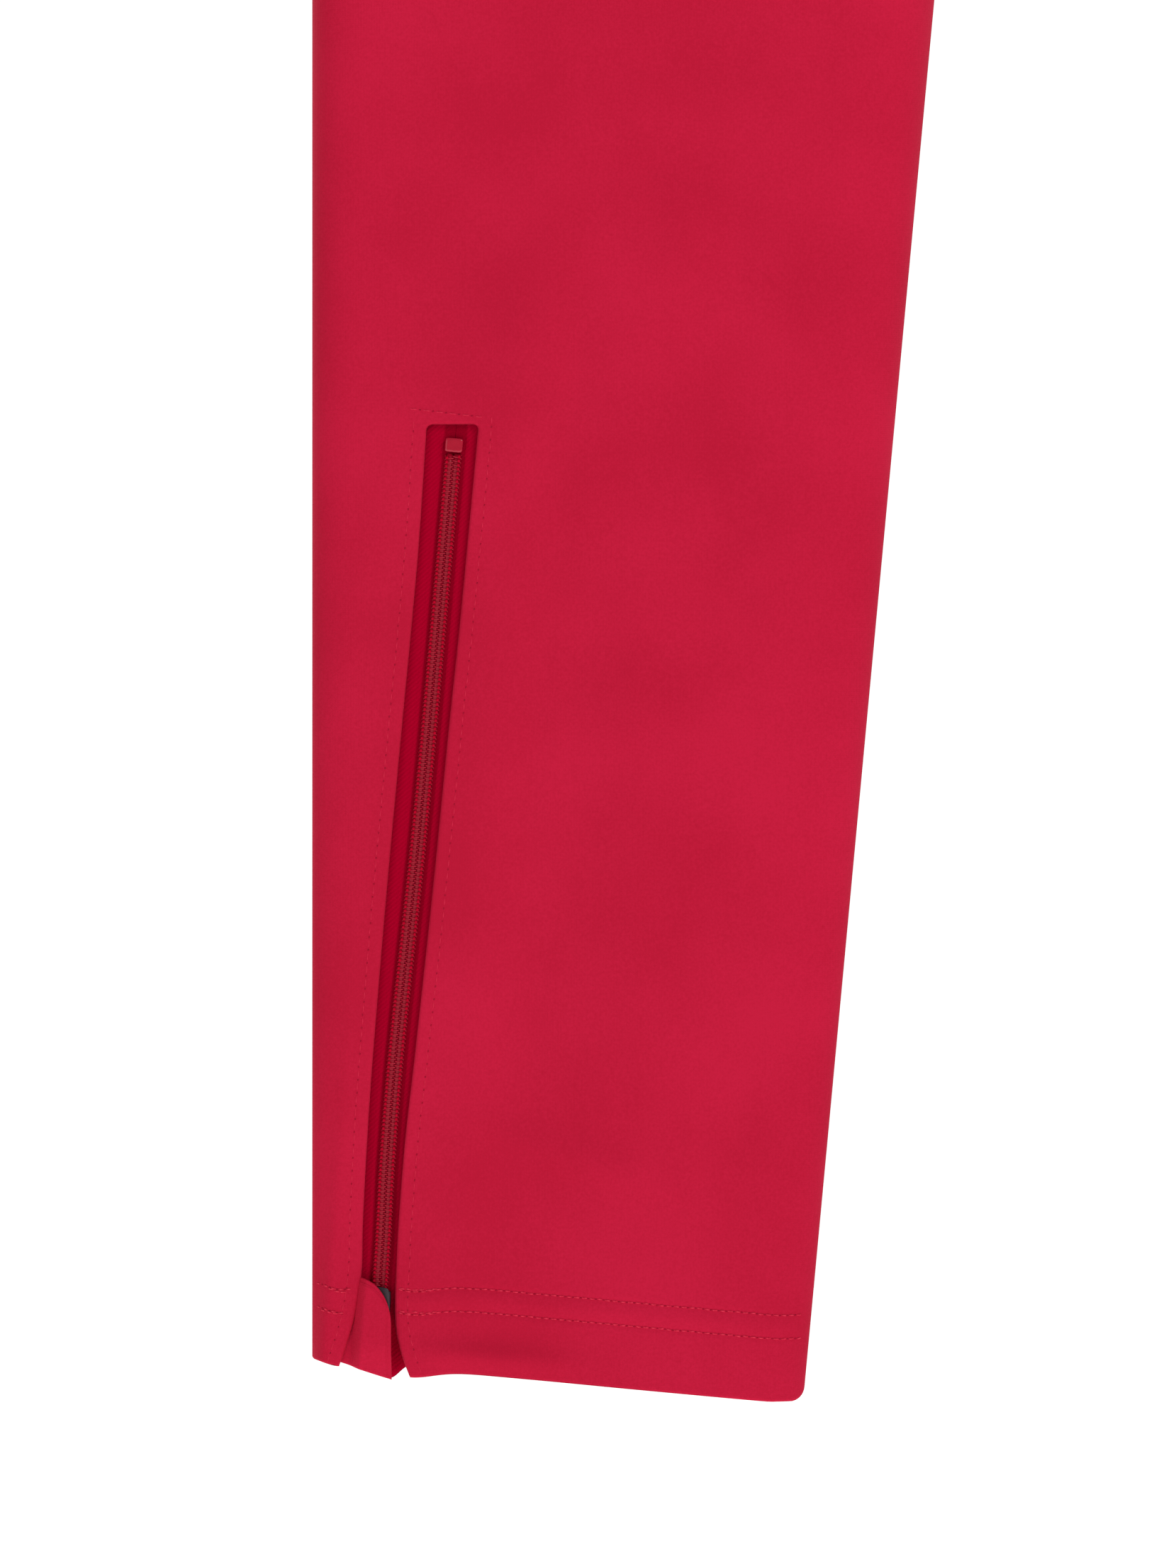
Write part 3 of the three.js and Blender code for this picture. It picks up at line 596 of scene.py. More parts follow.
def front_grid(seed):
    """The front of the left leg as points, their places on the flat cloth, and the cells to keep.
    The hem's line depends on the width there and the width on the height, so it takes three passes."""
    levels = np.concatenate([HEM_TURN[:, 0], FRONT_LEVELS])
    inset = np.concatenate([HEM_TURN[:, 1], np.zeros(len(FRONT_LEVELS))])[:, None]
    rise = levels[:, None]
    fade = 1 - smooth(rise, 0, HEM_FADE)
    height = rise + fade * HEM_RISE
    for _ in range(3):
        width = outer_at(height) - inner_at(height)
        window_height = np.minimum(height, WINDOW_TOP + 1.5)
        above = smooth(height, 345, 520)
        left = window_inner(window_height) * (1 - above) + 0.20 * width * above
        right = window_outer(window_height) * (1 - above) + 0.29 * width * above
        rounding = edge_curl(WINDOW_TOP - np.minimum(height, WINDOW_TOP), CORNER) * (height < 345)
        left = left + rounding
        right = right - rounding
        across = left * OF_LEFT + right * OF_RIGHT + width * OF_WIDTH
        edge = hem_edge(across * HEM_WIDTH / width)
        height = rise + fade * edge
    depth = front_depth(across, height, np.maximum(rise, 0), seed)
    gap = np.where(across <= left, left - across, np.where(across >= right, across - right, 0))
    gap = np.hypot(gap, np.maximum(height - WINDOW_TOP, 0))
    curl = edge_curl(gap, 1.1)
    curl = curl + edge_curl(np.where(inset > 0, 9, rise), 1.0)
    y = -np.maximum(depth - curl - inset, 0.1)
    tucked = inset * np.where(across <= left, 1 - 1.6 * across / left,
                              0.4 - 1.4 * (across - right) / (width - right))
    seam_in = band_tuck(height)
    y = y + seam_in
    tucked = tucked - seam_in * across / width
    points = stacked(inner_at(height) + across + tucked, y, height - OUTSEAM)
    flat = stacked(across, np.where(inset > 0, -rise, rise))
    keep = np.ones((len(levels) - 1, across.shape[1] - 1), bool)
    first = len(INNER_COLUMNS) - 1
    last = first + len(WINDOW_COLUMNS) + 1
    keep[np.ix_(levels[1:] <= WINDOW_TOP, np.arange(first, last))] = False
    return points, flat, keep


def mirrored(points, side):
    return points * np.array([side, 1, 1])


# %% Make the front panels
def towards(x, y, z):
    direction = np.array([x, y, z], float)
    return lambda centres: np.broadcast_to(direction, centres.shape)


fronts = {}
for leg, side in LEGS:
    points, flat, keep = front_grid(SEEDS[leg])
    piece = grid_object("front_cloth_" + leg, mirrored(points, side), flat, keep, towards(0, -1, 0))
    fronts[leg] = thicken(piece, CLOTH)
    belongs(piece, "front_leg_panel_" + leg)
print("front panels:", len(fronts["left"].data.polygons), "faces each before thickness")

# %% [markdown]
# ## Back panels
# The back has no zip, so it is the plain lens shape with creases of its own and the same hem. It
# meets the front at the two folds, where the seams run.

# %% Make the back panels
BACK_LEVELS = stepped((0, 1.2, 5), (1.2, 18, 8), (18, 32, 26), (32, 500, 80), (500, 700, 34),
                      (700, 940, 48), *TOP_LEVELS)
BACK_COLUMNS = curved_steps(76, 2.0, 2.0)


def back_depth(across, height, level, seed):
    """Half depth of the back face: the lens, its creases and the pull of the hem's two rows."""
    share = np.clip(across / (outer_at(height) - inner_at(height)), 0, 1)
    waves = loose_cloth(across, height, seed) - ROW_PULL * row_groove(level, ROW_LOW, ROW_HIGH)
    return plain_depth(share, height) + waves * rounded_rim(share) - rise_seam(across, height)


def back_grid(seed):
    """The back of the left leg, in the same way as the front."""
    levels = np.concatenate([HEM_TURN[:, 0], BACK_LEVELS])[:, None]
    inset = np.concatenate([HEM_TURN[:, 1], np.zeros(len(BACK_LEVELS))])[:, None]
    fade = 1 - smooth(levels, 0, HEM_FADE)
    height = levels + fade * HEM_RISE
    for _ in range(3):
        width = outer_at(height) - inner_at(height)
        across = width * BACK_COLUMNS
        height = levels + fade * (hem_edge(across * HEM_WIDTH / width, zipped=0) + BACK_SHORT)
    share = across / width
    depth = back_depth(across, height, levels, seed)
    y = np.maximum(depth - inset - edge_curl(np.where(inset > 0, 9, levels), 1.0), 0.1)
    tucked = inset * (1 - 2 * share) - band_tuck(height) * share
    y = y - band_tuck(height)
    points = stacked(inner_at(height) + across + tucked, y, height - OUTSEAM)
    flat = stacked(across, np.where(inset > 0, -levels, levels))
    return points, flat


backs = {}
for leg, side in LEGS:
    points, flat = back_grid(SEEDS[leg] + 10)
    piece = grid_object("back_cloth_" + leg, mirrored(points, side), flat, None, towards(0, 1, 0))
    backs[leg] = thicken(piece, CLOTH)
    belongs(piece, "back_leg_panel_" + leg)
print("back panels:", len(backs["left"].data.polygons), "faces each before thickness")

# %% [markdown]
# ## Sewing thread
# A lockstitch shows as a row of short threads that dive into the cloth at each needle hole. Each
# stitch is a small arched grain of thread. One grain's points are worked out once and carried to
# every stitch of a row as one array. Between two stitches the thread dives and leaves a dimple. Its
# shade is painted: a still smaller grain of a darker red sits in each dimple.

# %% A row of stitches
def stitch_row(centres, along, out, length, width, sink=0.25):
    """Points and faces of grains of thread: a ring of six points at each of seven places along a
    grain, whose ends are thin and dive by sink times the length."""
    places, around = 7, 6
    place = np.linspace(-1, 1, places)
    turn = np.arange(around) * 2 * math.pi / around
    radius = (width / 2 * np.maximum(1 - np.abs(place) ** 3, 0.12))[:, None]
    dive = (sink * length * 0.5 * place ** 4)[:, None]
    ahead = (place * length / 2)[:, None, None]
    sideways = (radius * np.cos(turn))[:, :, None]
    lift = (radius * np.sin(turn) - dive)[:, :, None]
    beside = np.cross(along, out)
    centres, along, beside, out = (row[:, None, None, :] for row in (centres, along, beside, out))
    grain = centres + along * ahead + beside * sideways + out * lift
    ring = np.arange(places * around).reshape(places, around)
    first, last = ring[0], ring[-1]
    caps = np.array([first[[3, 2, 1, 0]], first[[5, 4, 3, 0]], last[[0, 1, 2, 3]], last[[0, 3, 4, 5]]])
    one = np.concatenate([side_faces(ring), caps])
    starts = np.arange(len(grain)) * places * around
    return grain.reshape(-1, 3), (one[None] + starts[:, None, None]).reshape(-1, 4)


# %% Places on the hanging cloth
def hung_height(across, level, zipped):
    """How high a point hangs: its level on the cloth and the hem's slant, which fades up the leg."""
    fade = 1 - smooth(level, 0, HEM_FADE)
    height = level + fade * HEM_RISE
    for _ in range(3):
        width = outer_at(height) - inner_at(height)
        height = level + fade * (hem_edge(across * HEM_WIDTH / width, zipped) + BACK_SHORT * (1 - zipped))
    return height


def front_spot(across, level, seed):
    """A point of the front face by its distance from the inner edge and above the hem."""
    height = hung_height(across, level, 1)
    depth = front_depth(across, height, level, seed)
    return stacked(inner_at(height) + across, -depth, height - OUTSEAM)


def back_spot(across, level, seed):
    """The same for the back face."""
    height = hung_height(across, level, 0)
    depth = back_depth(across, height, level, seed)
    return stacked(inner_at(height) + across, depth, height - OUTSEAM)


def row_on(spot, across, level, seed, lift):
    """Places on a face, lifted off the cloth, with the directions across and up it, from small steps
    either side, and its outward normal."""
    step = 0.4
    centre = spot(across, level, seed)
    sideways = spot(across + step, level, seed) - spot(across - step, level, seed)
    upwards = spot(across, level + step, seed) - spot(across, level - step, seed)
    out = unit(np.cross(sideways, upwards))
    if spot is back_spot:
        out = -out
    return centre + out * lift, sideways, upwards, out


# %% The rows of stitches
STITCH = 2.6
THREAD = 0.42
# The grains' sizes, the distance between places of a window row, and how far a row lies off the cloth.
HEM_STITCH = {"length": 2.0, "width": 0.55}
# The hole grains are darker thread that stands for the shade in each needle hole: painted shade.
HEM_HOLE_SHADE = {"length": 0.85, "width": 0.5, "sink": 0.1}
EDGE_STITCH = {"length": 3.0, "width": 0.34, "sink": 0.12}
TOP_STITCH = {"length": 3.0, "width": 0.5}
EDGE_HOLE_SHADE = {"length": 0.9, "width": 0.48, "sink": 0.1}
EDGE_PITCH = 2.2
PROUD, SUNK = 0.12, 0.02


def sewn(spot, across, level, seed, lift, grain, lean=0.0):
    """A row of grains of thread on a face. lean turns them from along the row to up the cloth."""
    centre, along, up, out = row_on(spot, across, level, seed, lift)
    return stitch_row(centre, unit(along + lean * up), out, **grain)


def hem_rows(seed):
    """The hem's two rows on both sides of the zip, with a back tack of doubled stitches at each end
    beside the zip, and darker grains of painted needle-hole shade between the stitches."""
    rows, hole_shades = [], []
    dice = np.random.default_rng(seed + 100)
    start = 30.2
    for level, inner_level, inner_end in ((ROW_LOW, INNER_ROW_LOW, 12.6), (ROW_HIGH, INNER_ROW_HIGH, 15.2)):
        steps = np.arange(start, HEM_WIDTH + 0.09 * level - 2.4, STITCH)
        runs = [(steps, level + dice.normal(0, 0.07, len(steps)))]
        tack = np.arange(start + 0.6, start + 13, 2.2)
        runs.append((tack, level + 0.5 + dice.normal(0, 0.28, len(tack))))
        inner = np.arange(2.3, inner_end, STITCH)
        runs.append((inner, inner_level + dice.normal(0, 0.07, len(inner))))
        inner_tack = np.arange(inner[-1] - 6.2, inner[-1], 2.1)
        runs.append((inner_tack, inner_level - 0.7 + dice.normal(0, 0.25, len(inner_tack))))
        for across, height in runs:
            tilt = dice.normal(0, 0.06, (len(across), 1))
            rows.append(sewn(front_spot, across, height, seed, PROUD, HEM_STITCH, tilt))
        for run, height in (runs[0], runs[2]):
            between, level_between = run[:-1] + STITCH / 2, (height[:-1] + height[1:]) / 2
            hole_shades.append(sewn(front_spot, between, level_between, seed, SUNK, HEM_HOLE_SHADE))
    return rows, hole_shades


def window_rows(seed):
    """One row outside each edge of the window and one across its top. Each second place along a row
    is a stitch, and the ones between are darker grains of painted needle-hole shade."""
    rows, hole_shades = [], []
    dice = np.random.default_rng(seed + 200)
    for edge, away, lowest in ((window_inner, -1, 14.5), (window_outer, 1, 11.5)):
        heights = np.arange(lowest, WINDOW_TOP + 2, EDGE_PITCH)
        across = edge(heights) + away * EDGE_ROW + dice.normal(0, 0.05, len(heights))
        level = heights - (1 - smooth(heights, 0, HEM_FADE)) * hem_edge(across)
        centre, along, up, out = row_on(front_spot, across, level, seed, -SUNK)
        ahead = unit(np.gradient(centre, axis=0))
        rows.append(stitch_row(centre[::2], ahead[::2], out[::2], **EDGE_STITCH))
        hole_shades.append(stitch_row(centre[1::2], ahead[1::2], out[1::2], **EDGE_HOLE_SHADE))
    first, last, slope = 34.8, 59.0, 0.12
    across = np.arange(first, last, EDGE_PITCH)
    level = 336.6 - (across - first) * slope
    rows.append(sewn(front_spot, across[::2], level[::2], seed, 2 * SUNK, TOP_STITCH, -slope))
    hole_shades.append(sewn(front_spot, across[1::2], level[1::2], seed, 2 * SUNK, EDGE_HOLE_SHADE, -slope))
    return rows, hole_shades


def back_rows(seed):
    """The hem's two rows carried on round the back."""
    rows, hole_shades = [], []
    dice = np.random.default_rng(seed + 300)
    for level in (ROW_LOW, ROW_HIGH):
        run = np.arange(2.8, HEM_WIDTH + 0.09 * level - 2.4, STITCH)
        height = level + dice.normal(0, 0.07, len(run))
        rows.append(sewn(back_spot, run, height, seed, PROUD, HEM_STITCH))
        hole_shades.append(sewn(back_spot, run[:-1] + STITCH / 2, height[:-1], seed, SUNK, HEM_HOLE_SHADE))
    return rows, hole_shades


# The third list holds the dark grains that are painted shade in the needle holes.
threads, edge_threads, needle_hole_shades = [], [], []
for leg, side in LEGS:
    seed = SEEDS[leg]
    hem_stitches, hem_hole_shades = hem_rows(seed)
    window_stitches, window_hole_shades = window_rows(seed)
    back_stitches, back_hole_shades = back_rows(seed + 10)
    for name, rows, kind in (("hem_thread_", hem_stitches, threads),
                             ("back_hem_thread_", back_stitches, threads),
                             ("back_needle_holes_", back_hole_shades, needle_hole_shades),
                             ("window_thread_", window_stitches, edge_threads),
                             ("needle_hole_shades_", hem_hole_shades + window_hole_shades, needle_hole_shades)):
        points, faces = joined(rows)
        points = mirrored(points, side)
        piece = mesh_object(name + leg, *outwards(points, faces))
        belongs(piece, None)
        kind.append(piece)
        print(piece.name, len(faces), "faces")

# %% [markdown]
# ## Zip tapes
# A zip's tape is a narrow woven ribbon, about 0.6 mm thick. A fine groove beside the coil and a rib
# beyond it run all the way up. At the foot each tape is cut at a slant and tucked behind the cloth.

# %% Make the tapes
TAPE_FOOT = {-1: -12.6, 1: -15.0}
TAPE_DIP = {-1: 0.0, 1: 3.8}
TAPE_TOP = 318.0
TAPE_MEET = 0.03
TAPE_THICK = 0.6
TAPE_WIDTH = 13.5


def tape_grid(direction, foot_width):
    """Across from the middle to the selvedge and along the chain, off the tape's face by its ribs. The
    cut foot dips where it shows beside the flap."""
    share = np.unique(np.concatenate([np.linspace(0, 0.42, 30), np.linspace(0.42, 1, 16)]))[None, :]
    rise = np.linspace(0, 1, 150)[:, None]
    foot = (TAPE_FOOT[direction] + 0.22 * share * foot_width
            - TAPE_DIP[direction] * bump(share * foot_width, 6.2, 3.6))
    along = foot + (TAPE_TOP - foot) * rise
    width = foot_width + (TAPE_WIDTH - foot_width) * smooth(along, -14, 66)
    across = TAPE_MEET + (width - TAPE_MEET) * share
    ribs = 0.10 * bump(across, 4.9, 0.4) - 0.22 * bump(across, 3.5, 0.4)
    ripple = 0.05 * np.sin(along / 7.3 + direction) * smooth(across, 4, 9)
    tucked = 3.2 * (1 - smooth(along, -6, 5)) * smooth(across, 3, 6)
    off = ribs + ripple + 0.10 - tucked
    flat = stacked(direction * across, along)
    return direction * across, off, along, flat


tapes = []
for leg in FRAMES:
    for name, direction, foot_width in (("inner", -1, 10.6), ("outer", 1, TAPE_WIDTH)):
        across, off, along, flat = tape_grid(direction, foot_width)
        points = on_zip(leg, across + chain_bow(along), off, along)
        piece = grid_object(f"woven_tape_{name}_{leg}", points, flat, None, towards(0, -1, 0))
        tapes.append(thicken(piece, TAPE_THICK))
        belongs(piece, f"zip_tape_{name}_{leg}")
print("tapes:", len(tapes))

# %% [markdown]
# ## Coils
# A coil zip's teeth are one nylon monofilament wound round a cord. The winding is a flattened helix
# with a pitch of 1.4 mm, and the two coils are half a pitch apart, so that their loops mesh in the
# middle. The loop's wire is a little flat, and one tube follows the whole helix.

# %% Make the coils
PITCH = 1.4
TURN_STEPS = 14
COIL_MIDDLE, COIL_REACH = 1.26, 1.50
COIL_OFF, COIL_HALF = 1.04, 0.50
WIRE_THICK, WIRE_WIDE = 0.22, 0.33


def coil_tube(direction, start):
    """Points round the wire at each step of the helix: across goes from just past the middle out to
    nearly 3 mm and back as the cosine, off the tape as the sine, and along by one pitch a turn."""
    turns = int((CHAIN - 1) / PITCH)
    angle = np.linspace(0, 2 * math.pi * turns, turns * TURN_STEPS + 1)
    across = direction * (COIL_MIDDLE + COIL_REACH * np.cos(angle))
    off = COIL_OFF + COIL_HALF * np.sin(angle)
    along = 0.5 + start + PITCH * angle / (2 * math.pi) + 0.16 * np.sin(angle)
    path = stacked(across, off, along)
    ahead = unit(np.gradient(path, axis=0))
    away = stacked(direction * np.cos(angle), np.sin(angle), 0)
    away = unit(away - (away * ahead).sum(-1, keepdims=True) * ahead)
    beside = np.cross(ahead, away)
    ring = np.arange(6) * math.pi / 3
    return (path[:, None, :] + WIRE_THICK * np.cos(ring)[None, :, None] * away[:, None, :]
            + WIRE_WIDE * np.sin(ring)[None, :, None] * beside[:, None, :])


def coil_cord(direction):
    """The straight cord inside a coil."""
    along = np.linspace(0.3, CHAIN - 0.3, 60)[:, None]
    ring = np.arange(8) * math.pi / 4
    return stacked(direction * 1.25 + np.cos(ring), 1.0 + 0.38 * np.sin(ring), along)


def closed_tube(sections):
    """Faces round a tube of (steps, around, 3) points, with a fan of quads at each end."""
    steps, around = sections.shape[:2]
    ring = np.arange(steps * around).reshape(steps, around)
    ends = []
    for row in (ring[0][::-1], ring[-1]):
        ends += [[row[0], row[k], row[k + 1], row[k + 2]] for k in range(1, around - 2, 2)]
    return sections.reshape(-1, 3), np.concatenate([side_faces(ring), np.array(ends)])


def carried(leg, points):
    return on_zip(leg, points[..., 0], points[..., 1], points[..., 2])


def bowed(leg, points):
    return on_zip(leg, points[..., 0] + chain_bow(points[..., 2]), points[..., 1], points[..., 2])


coils = []
for leg in FRAMES:
    for name, direction, start in (("inner", -1, 0.0), ("outer", 1, PITCH / 2)):
        parts = coil_tube(direction, start), coil_cord(direction)
        shapes = [closed_tube(bowed(leg, part)) for part in parts]
        piece = mesh_object(f"nylon_coil_{name}_{leg}", *joined([outwards(*shape) for shape in shapes]))
        coils.append(piece)
        belongs(piece, f"zip_coil_{name}_{leg}")
print("coils:", len(coils[0].data.polygons), "faces each")

# %% The thread that sews each coil to its tape
SEAM_ACROSS, SEAM_OFF = 2.05, 1.72
coil_threads = []
for leg in FRAMES:
    rows = []
    for direction, start in ((-1, 0.0), (1, PITCH / 2)):
        along = np.arange(1.2 + start, CHAIN - 0.6, PITCH)
        centres = on_zip(leg, direction * SEAM_ACROSS + chain_bow(along), SEAM_OFF, along)
        ahead = np.broadcast_to(FRAMES[leg][3], centres.shape)
        out = np.broadcast_to(-FRAMES[leg][2], centres.shape)
        rows.append(stitch_row(centres, ahead, out, 1.28, 1.1, 0.18))
    piece = mesh_object("coil_thread_" + leg, *outwards(*joined(rows)))
    coil_threads.append(piece)
    belongs(piece, None)
print("coil threads:", len(coil_threads[0].data.polygons), "faces each")

# %% [markdown]
# ## Stops
# The stop at the closed end is a strip of metal pressed round both coils and enamelled red. The two
# small stops by the slider are single clamps. All are rounded blocks: a ball's grid pushed out to a
# box with soft corners.

# %% Make the stops
def rounded_block(width, height, length, power=6, steps=28):
    """A closed block as a ball's grid: each direction is divided by its size, which is the power-th
    root of the sum of its parts to that power. A high power squares it."""
    lat = np.linspace(-math.pi / 2, math.pi / 2, steps)[1:-1, None]
    lon = full_turn(2 * steps)[None, :]
    x, y, z = np.cos(lat) * np.cos(lon), np.cos(lat) * np.sin(lon), np.sin(lat) + 0 * lon
    size = (np.abs(x) ** power + np.abs(y) ** power + np.abs(z) ** power) ** (1 / power)
    x, y, z = width / 2 * x / size, height / 2 * y / size, length / 2 * z / size
    body = stacked(x, y, z)
    tip = np.array([0.02, 0.02, 0])
    low = np.array([[[0, 0, -length / 2]]]).repeat(2 * steps, 1) + body[:1] * tip
    high = np.array([[[0, 0, length / 2]]]).repeat(2 * steps, 1) + body[-1:] * tip
    return np.concatenate([low, body, high])


def clamp_block(width, height, length):
    """A rounded block whose face leans back a little towards its top and is pressed in at the middle,
    which leaves a shoulder all round."""
    block = rounded_block(width, height, length, 7, 44)
    x, y, z = block[..., 0] / (width / 2), block[..., 1] / (height / 2), block[..., 2] / (length / 2)
    pressed = bump(x, 0.1, 0.5) * bump(z, -0.1, 0.55) * smooth(y, 0.2, 0.9)
    leaning = 0.17 * z * smooth(y, 0.2, 0.9)
    block[..., 1] -= 0.12 * pressed + leaning
    return block


def placed_block(leg, block, across, off, along):
    return closed_tube(carried(leg, block + np.array([across, off, along])))


stops = []
for leg in FRAMES:
    bottom = placed_block(leg, clamp_block(6.0, 2.4, 4.8), 0, 1.5, CHAIN + 2.7)
    pieces = [("chain_clamp_" + leg, bottom, "zip_bottom_stop_" + leg)]
    for name, direction in (("inner", -1), ("outer", 1)):
        clamp = placed_block(leg, rounded_block(2.5, 1.9, 3.2), direction * 1.8, 1.2, -1.9)
        pieces.append((f"end_clamp_{name}_{leg}", clamp, f"zip_top_stop_{name}_{leg}"))
    for name, shape, node in pieces:
        piece = mesh_object(name, *outwards(*shape))
        stops.append(piece)
        belongs(piece, node)
print("stops:", len(stops))

# %% [markdown]
# ## Slider and puller
# The slider is cast zinc: two plates joined by a post, with flanges that hold the tapes, and a bridge
# that carries the puller. Its outline is wide at the mouth and narrow at the throat. A cast edge is
# never sharp, so each plate is an outline lofted through a few shrinking rings.

# %% A cast plate from its outline
def squared(wave, power):
    """A sine or cosine raised to a power below 1, sign kept, which squares a circle's corners."""
    return np.sign(wave) * np.abs(wave) ** power


def outline_loop(half_mouth, half_throat, low, high, count=64):
    """A closed outline: a rounded oblong whose half width changes from mouth to throat."""
    angle = full_turn(count)
    share = (squared(np.sin(angle), 0.42) + 1) / 2
    half = half_mouth + (half_throat - half_mouth) * smooth(share, 0.25, 0.9)
    return stacked(squared(np.cos(angle), 0.42) * half, low + (high - low) * share)


def cast_plate(loop, bottom, top, edge, dome=0.0):
    """A closed plate: rings of the outline, shrunk near both faces by a quarter round, and a crowned
    top face that closes on a small ring."""
    middle = loop.mean(axis=0)
    half = np.ptp(loop[:, 0]) / 2
    levels = [(bottom, edge + half * 0.985 - half * k) for k in (0.0, 0.4, 0.8)]
    levels += [(bottom + edge * (1 - math.sin(turn)), edge * (1 - math.cos(turn)))
               for turn in np.linspace(math.pi / 2, 0, 5)]
    rim = [(top - edge + edge * math.sin(turn), edge * (1 - math.cos(turn)))
           for turn in np.linspace(0, math.pi / 2, 5)]
    crown = [(top + dome * (1 - (1 - k) ** 2), edge + half * k * 0.985) for k in (0.2, 0.45, 0.7, 1.0)]
    rings = []
    for off, shrink in levels + rim + crown:
        scale = max(1 - shrink / half, 0.012)
        ring = middle + (loop - middle) * scale
        rings.append(stacked(ring[:, 0], off, ring[:, 1]))
    return np.stack(rings)


SLIDER_LOW, SLIDER_HIGH = 2.4, 13.4
PLATE_LOW, PLATE_HIGH = 2.4, 3.2


def bar_path(points, half_width, half_height, count=8):
    """A tube of rounded oblong section along a path in the plane across = 0."""
    ahead = unit(np.gradient(points, axis=0))
    side = np.array([1.0, 0, 0])
    out = unit(np.cross(ahead, np.broadcast_to(side, ahead.shape)))
    angle = (np.arange(count) + 0.5) * 2 * math.pi / count
    across = squared(np.cos(angle), 0.6) * half_width
    lift = squared(np.sin(angle), 0.6) * half_height
    return points[:, None, :] + across[None, :, None] * side + lift[None, :, None] * out[:, None, :]


def slider_parts():
    """The plates, flanges, post and bridge, as closed shapes in the zip's frame."""
    loop = outline_loop(4.3, 3.8, SLIDER_LOW, SLIDER_HIGH)
    middle = (SLIDER_LOW + SLIDER_HIGH) / 2
    parts = [cast_plate(loop, PLATE_LOW, PLATE_HIGH, 0.3, 0.12), cast_plate(loop, -1.7, -0.9, 0.3)]
    for direction in (-1, 1):
        path = np.linspace([0, 1.5, SLIDER_LOW + 1.3], [0, 1.5, SLIDER_HIGH - 1.3], 12)
        wall = bar_path(path, 0.30, 1.15)
        spread = 3.95 - 0.35 * smooth(path[:, 2], middle, SLIDER_HIGH)
        wall[..., 0] += direction * spread[:, None]
        parts.append(wall)
    post = np.linspace([0, -1.2, SLIDER_LOW + 2.75], [0, 2.9, SLIDER_LOW + 2.75], 6)
    section = np.arange(10) * math.pi / 5
    ring = stacked(0.3 * np.cos(section), 0, 1.7 * np.sin(section))
    parts.append(post[:, None, :] + ring[None])
    turn = np.linspace(0, math.pi, 25)
    arch = stacked(0 * turn, PLATE_HIGH - 0.2 + 2.0 * np.abs(np.sin(turn)) ** 0.45,
                     middle - 2.4 * squared(np.cos(turn), 0.7))
    parts.append(bar_path(arch, 0.8, 0.38))
    return parts


def puller_grid():
    """A flat tab with a window for the bridge: rings that run from the window's outline to the tab's
    own and back again round its rounded edges."""
    top, length = HINGE_ALONG + 0.4, 17.0
    foot = top - length
    hole_top, hole_foot = HINGE_ALONG - 0.4, HINGE_ALONG - 3.7
    angle = full_turn(72)
    side = squared(np.cos(angle), 0.35)
    share = (squared(np.sin(angle), 0.35) + 1) / 2
    half = 2.5 - 0.3 * smooth(share, 0.6, 0.8)
    outer = stacked(side * half, foot + (top - foot) * share)
    inner = stacked(side * 1.1, hole_foot + (hole_top - hole_foot) * share)
    rings = []
    low, high, edge = 3.5, 4.3, 0.25
    profile = [(0.04, low), (0.5, low), (0.96, low), (1, low + edge), (1, high - edge), (0.96, high),
               (0.5, high), (0.04, high), (0, high - edge), (0, low + edge)]
    for part, off in profile:
        ring = inner + (outer - inner) * part
        rings.append(stacked(ring[:, 0], off, ring[:, 1]))
    return np.stack(rings)


def closed_ring(sections):
    """Faces of a shape that closes both round and along, such as a ring."""
    steps, around = sections.shape[:2]
    ring = np.arange(steps * around).reshape(steps, around)
    return sections.reshape(-1, 3), side_faces(np.concatenate([ring, ring[:1]]))


metal = []
for leg in FRAMES:
    shapes = [closed_tube(carried(leg, part)) for part in slider_parts()]
    body = mesh_object("slider_casting_" + leg, *joined([outwards(*shape) for shape in shapes]))
    belongs(body, "zip_slider_" + leg, body="slider_" + leg)
    tab = mesh_object("puller_tab_" + leg, *outwards(*closed_ring(carried(leg, puller_grid()))))
    belongs(tab, "zip_puller_" + leg, body="puller_" + leg)
    metal += [body, tab]
print("slider and puller:", [len(piece.data.polygons) for piece in metal[:2]], "faces")

# %% [markdown]
# ## Garage flap
# The flap is two layers of the knit, sewn, turned and pressed, so it has a soft edge with a line just
# inside it. It comes out from under the inner side of the front, climbs over the slider and ends in
# a quarter round at its upper corner.

# %% Make the flaps
FLAP = 1.3
FLAP_ROOT, FLAP_SHOULDER, FLAP_EDGE = 5.4, 16.6, 27.4
FLAP_REST, FLAP_TALL = 1.75, 7.1


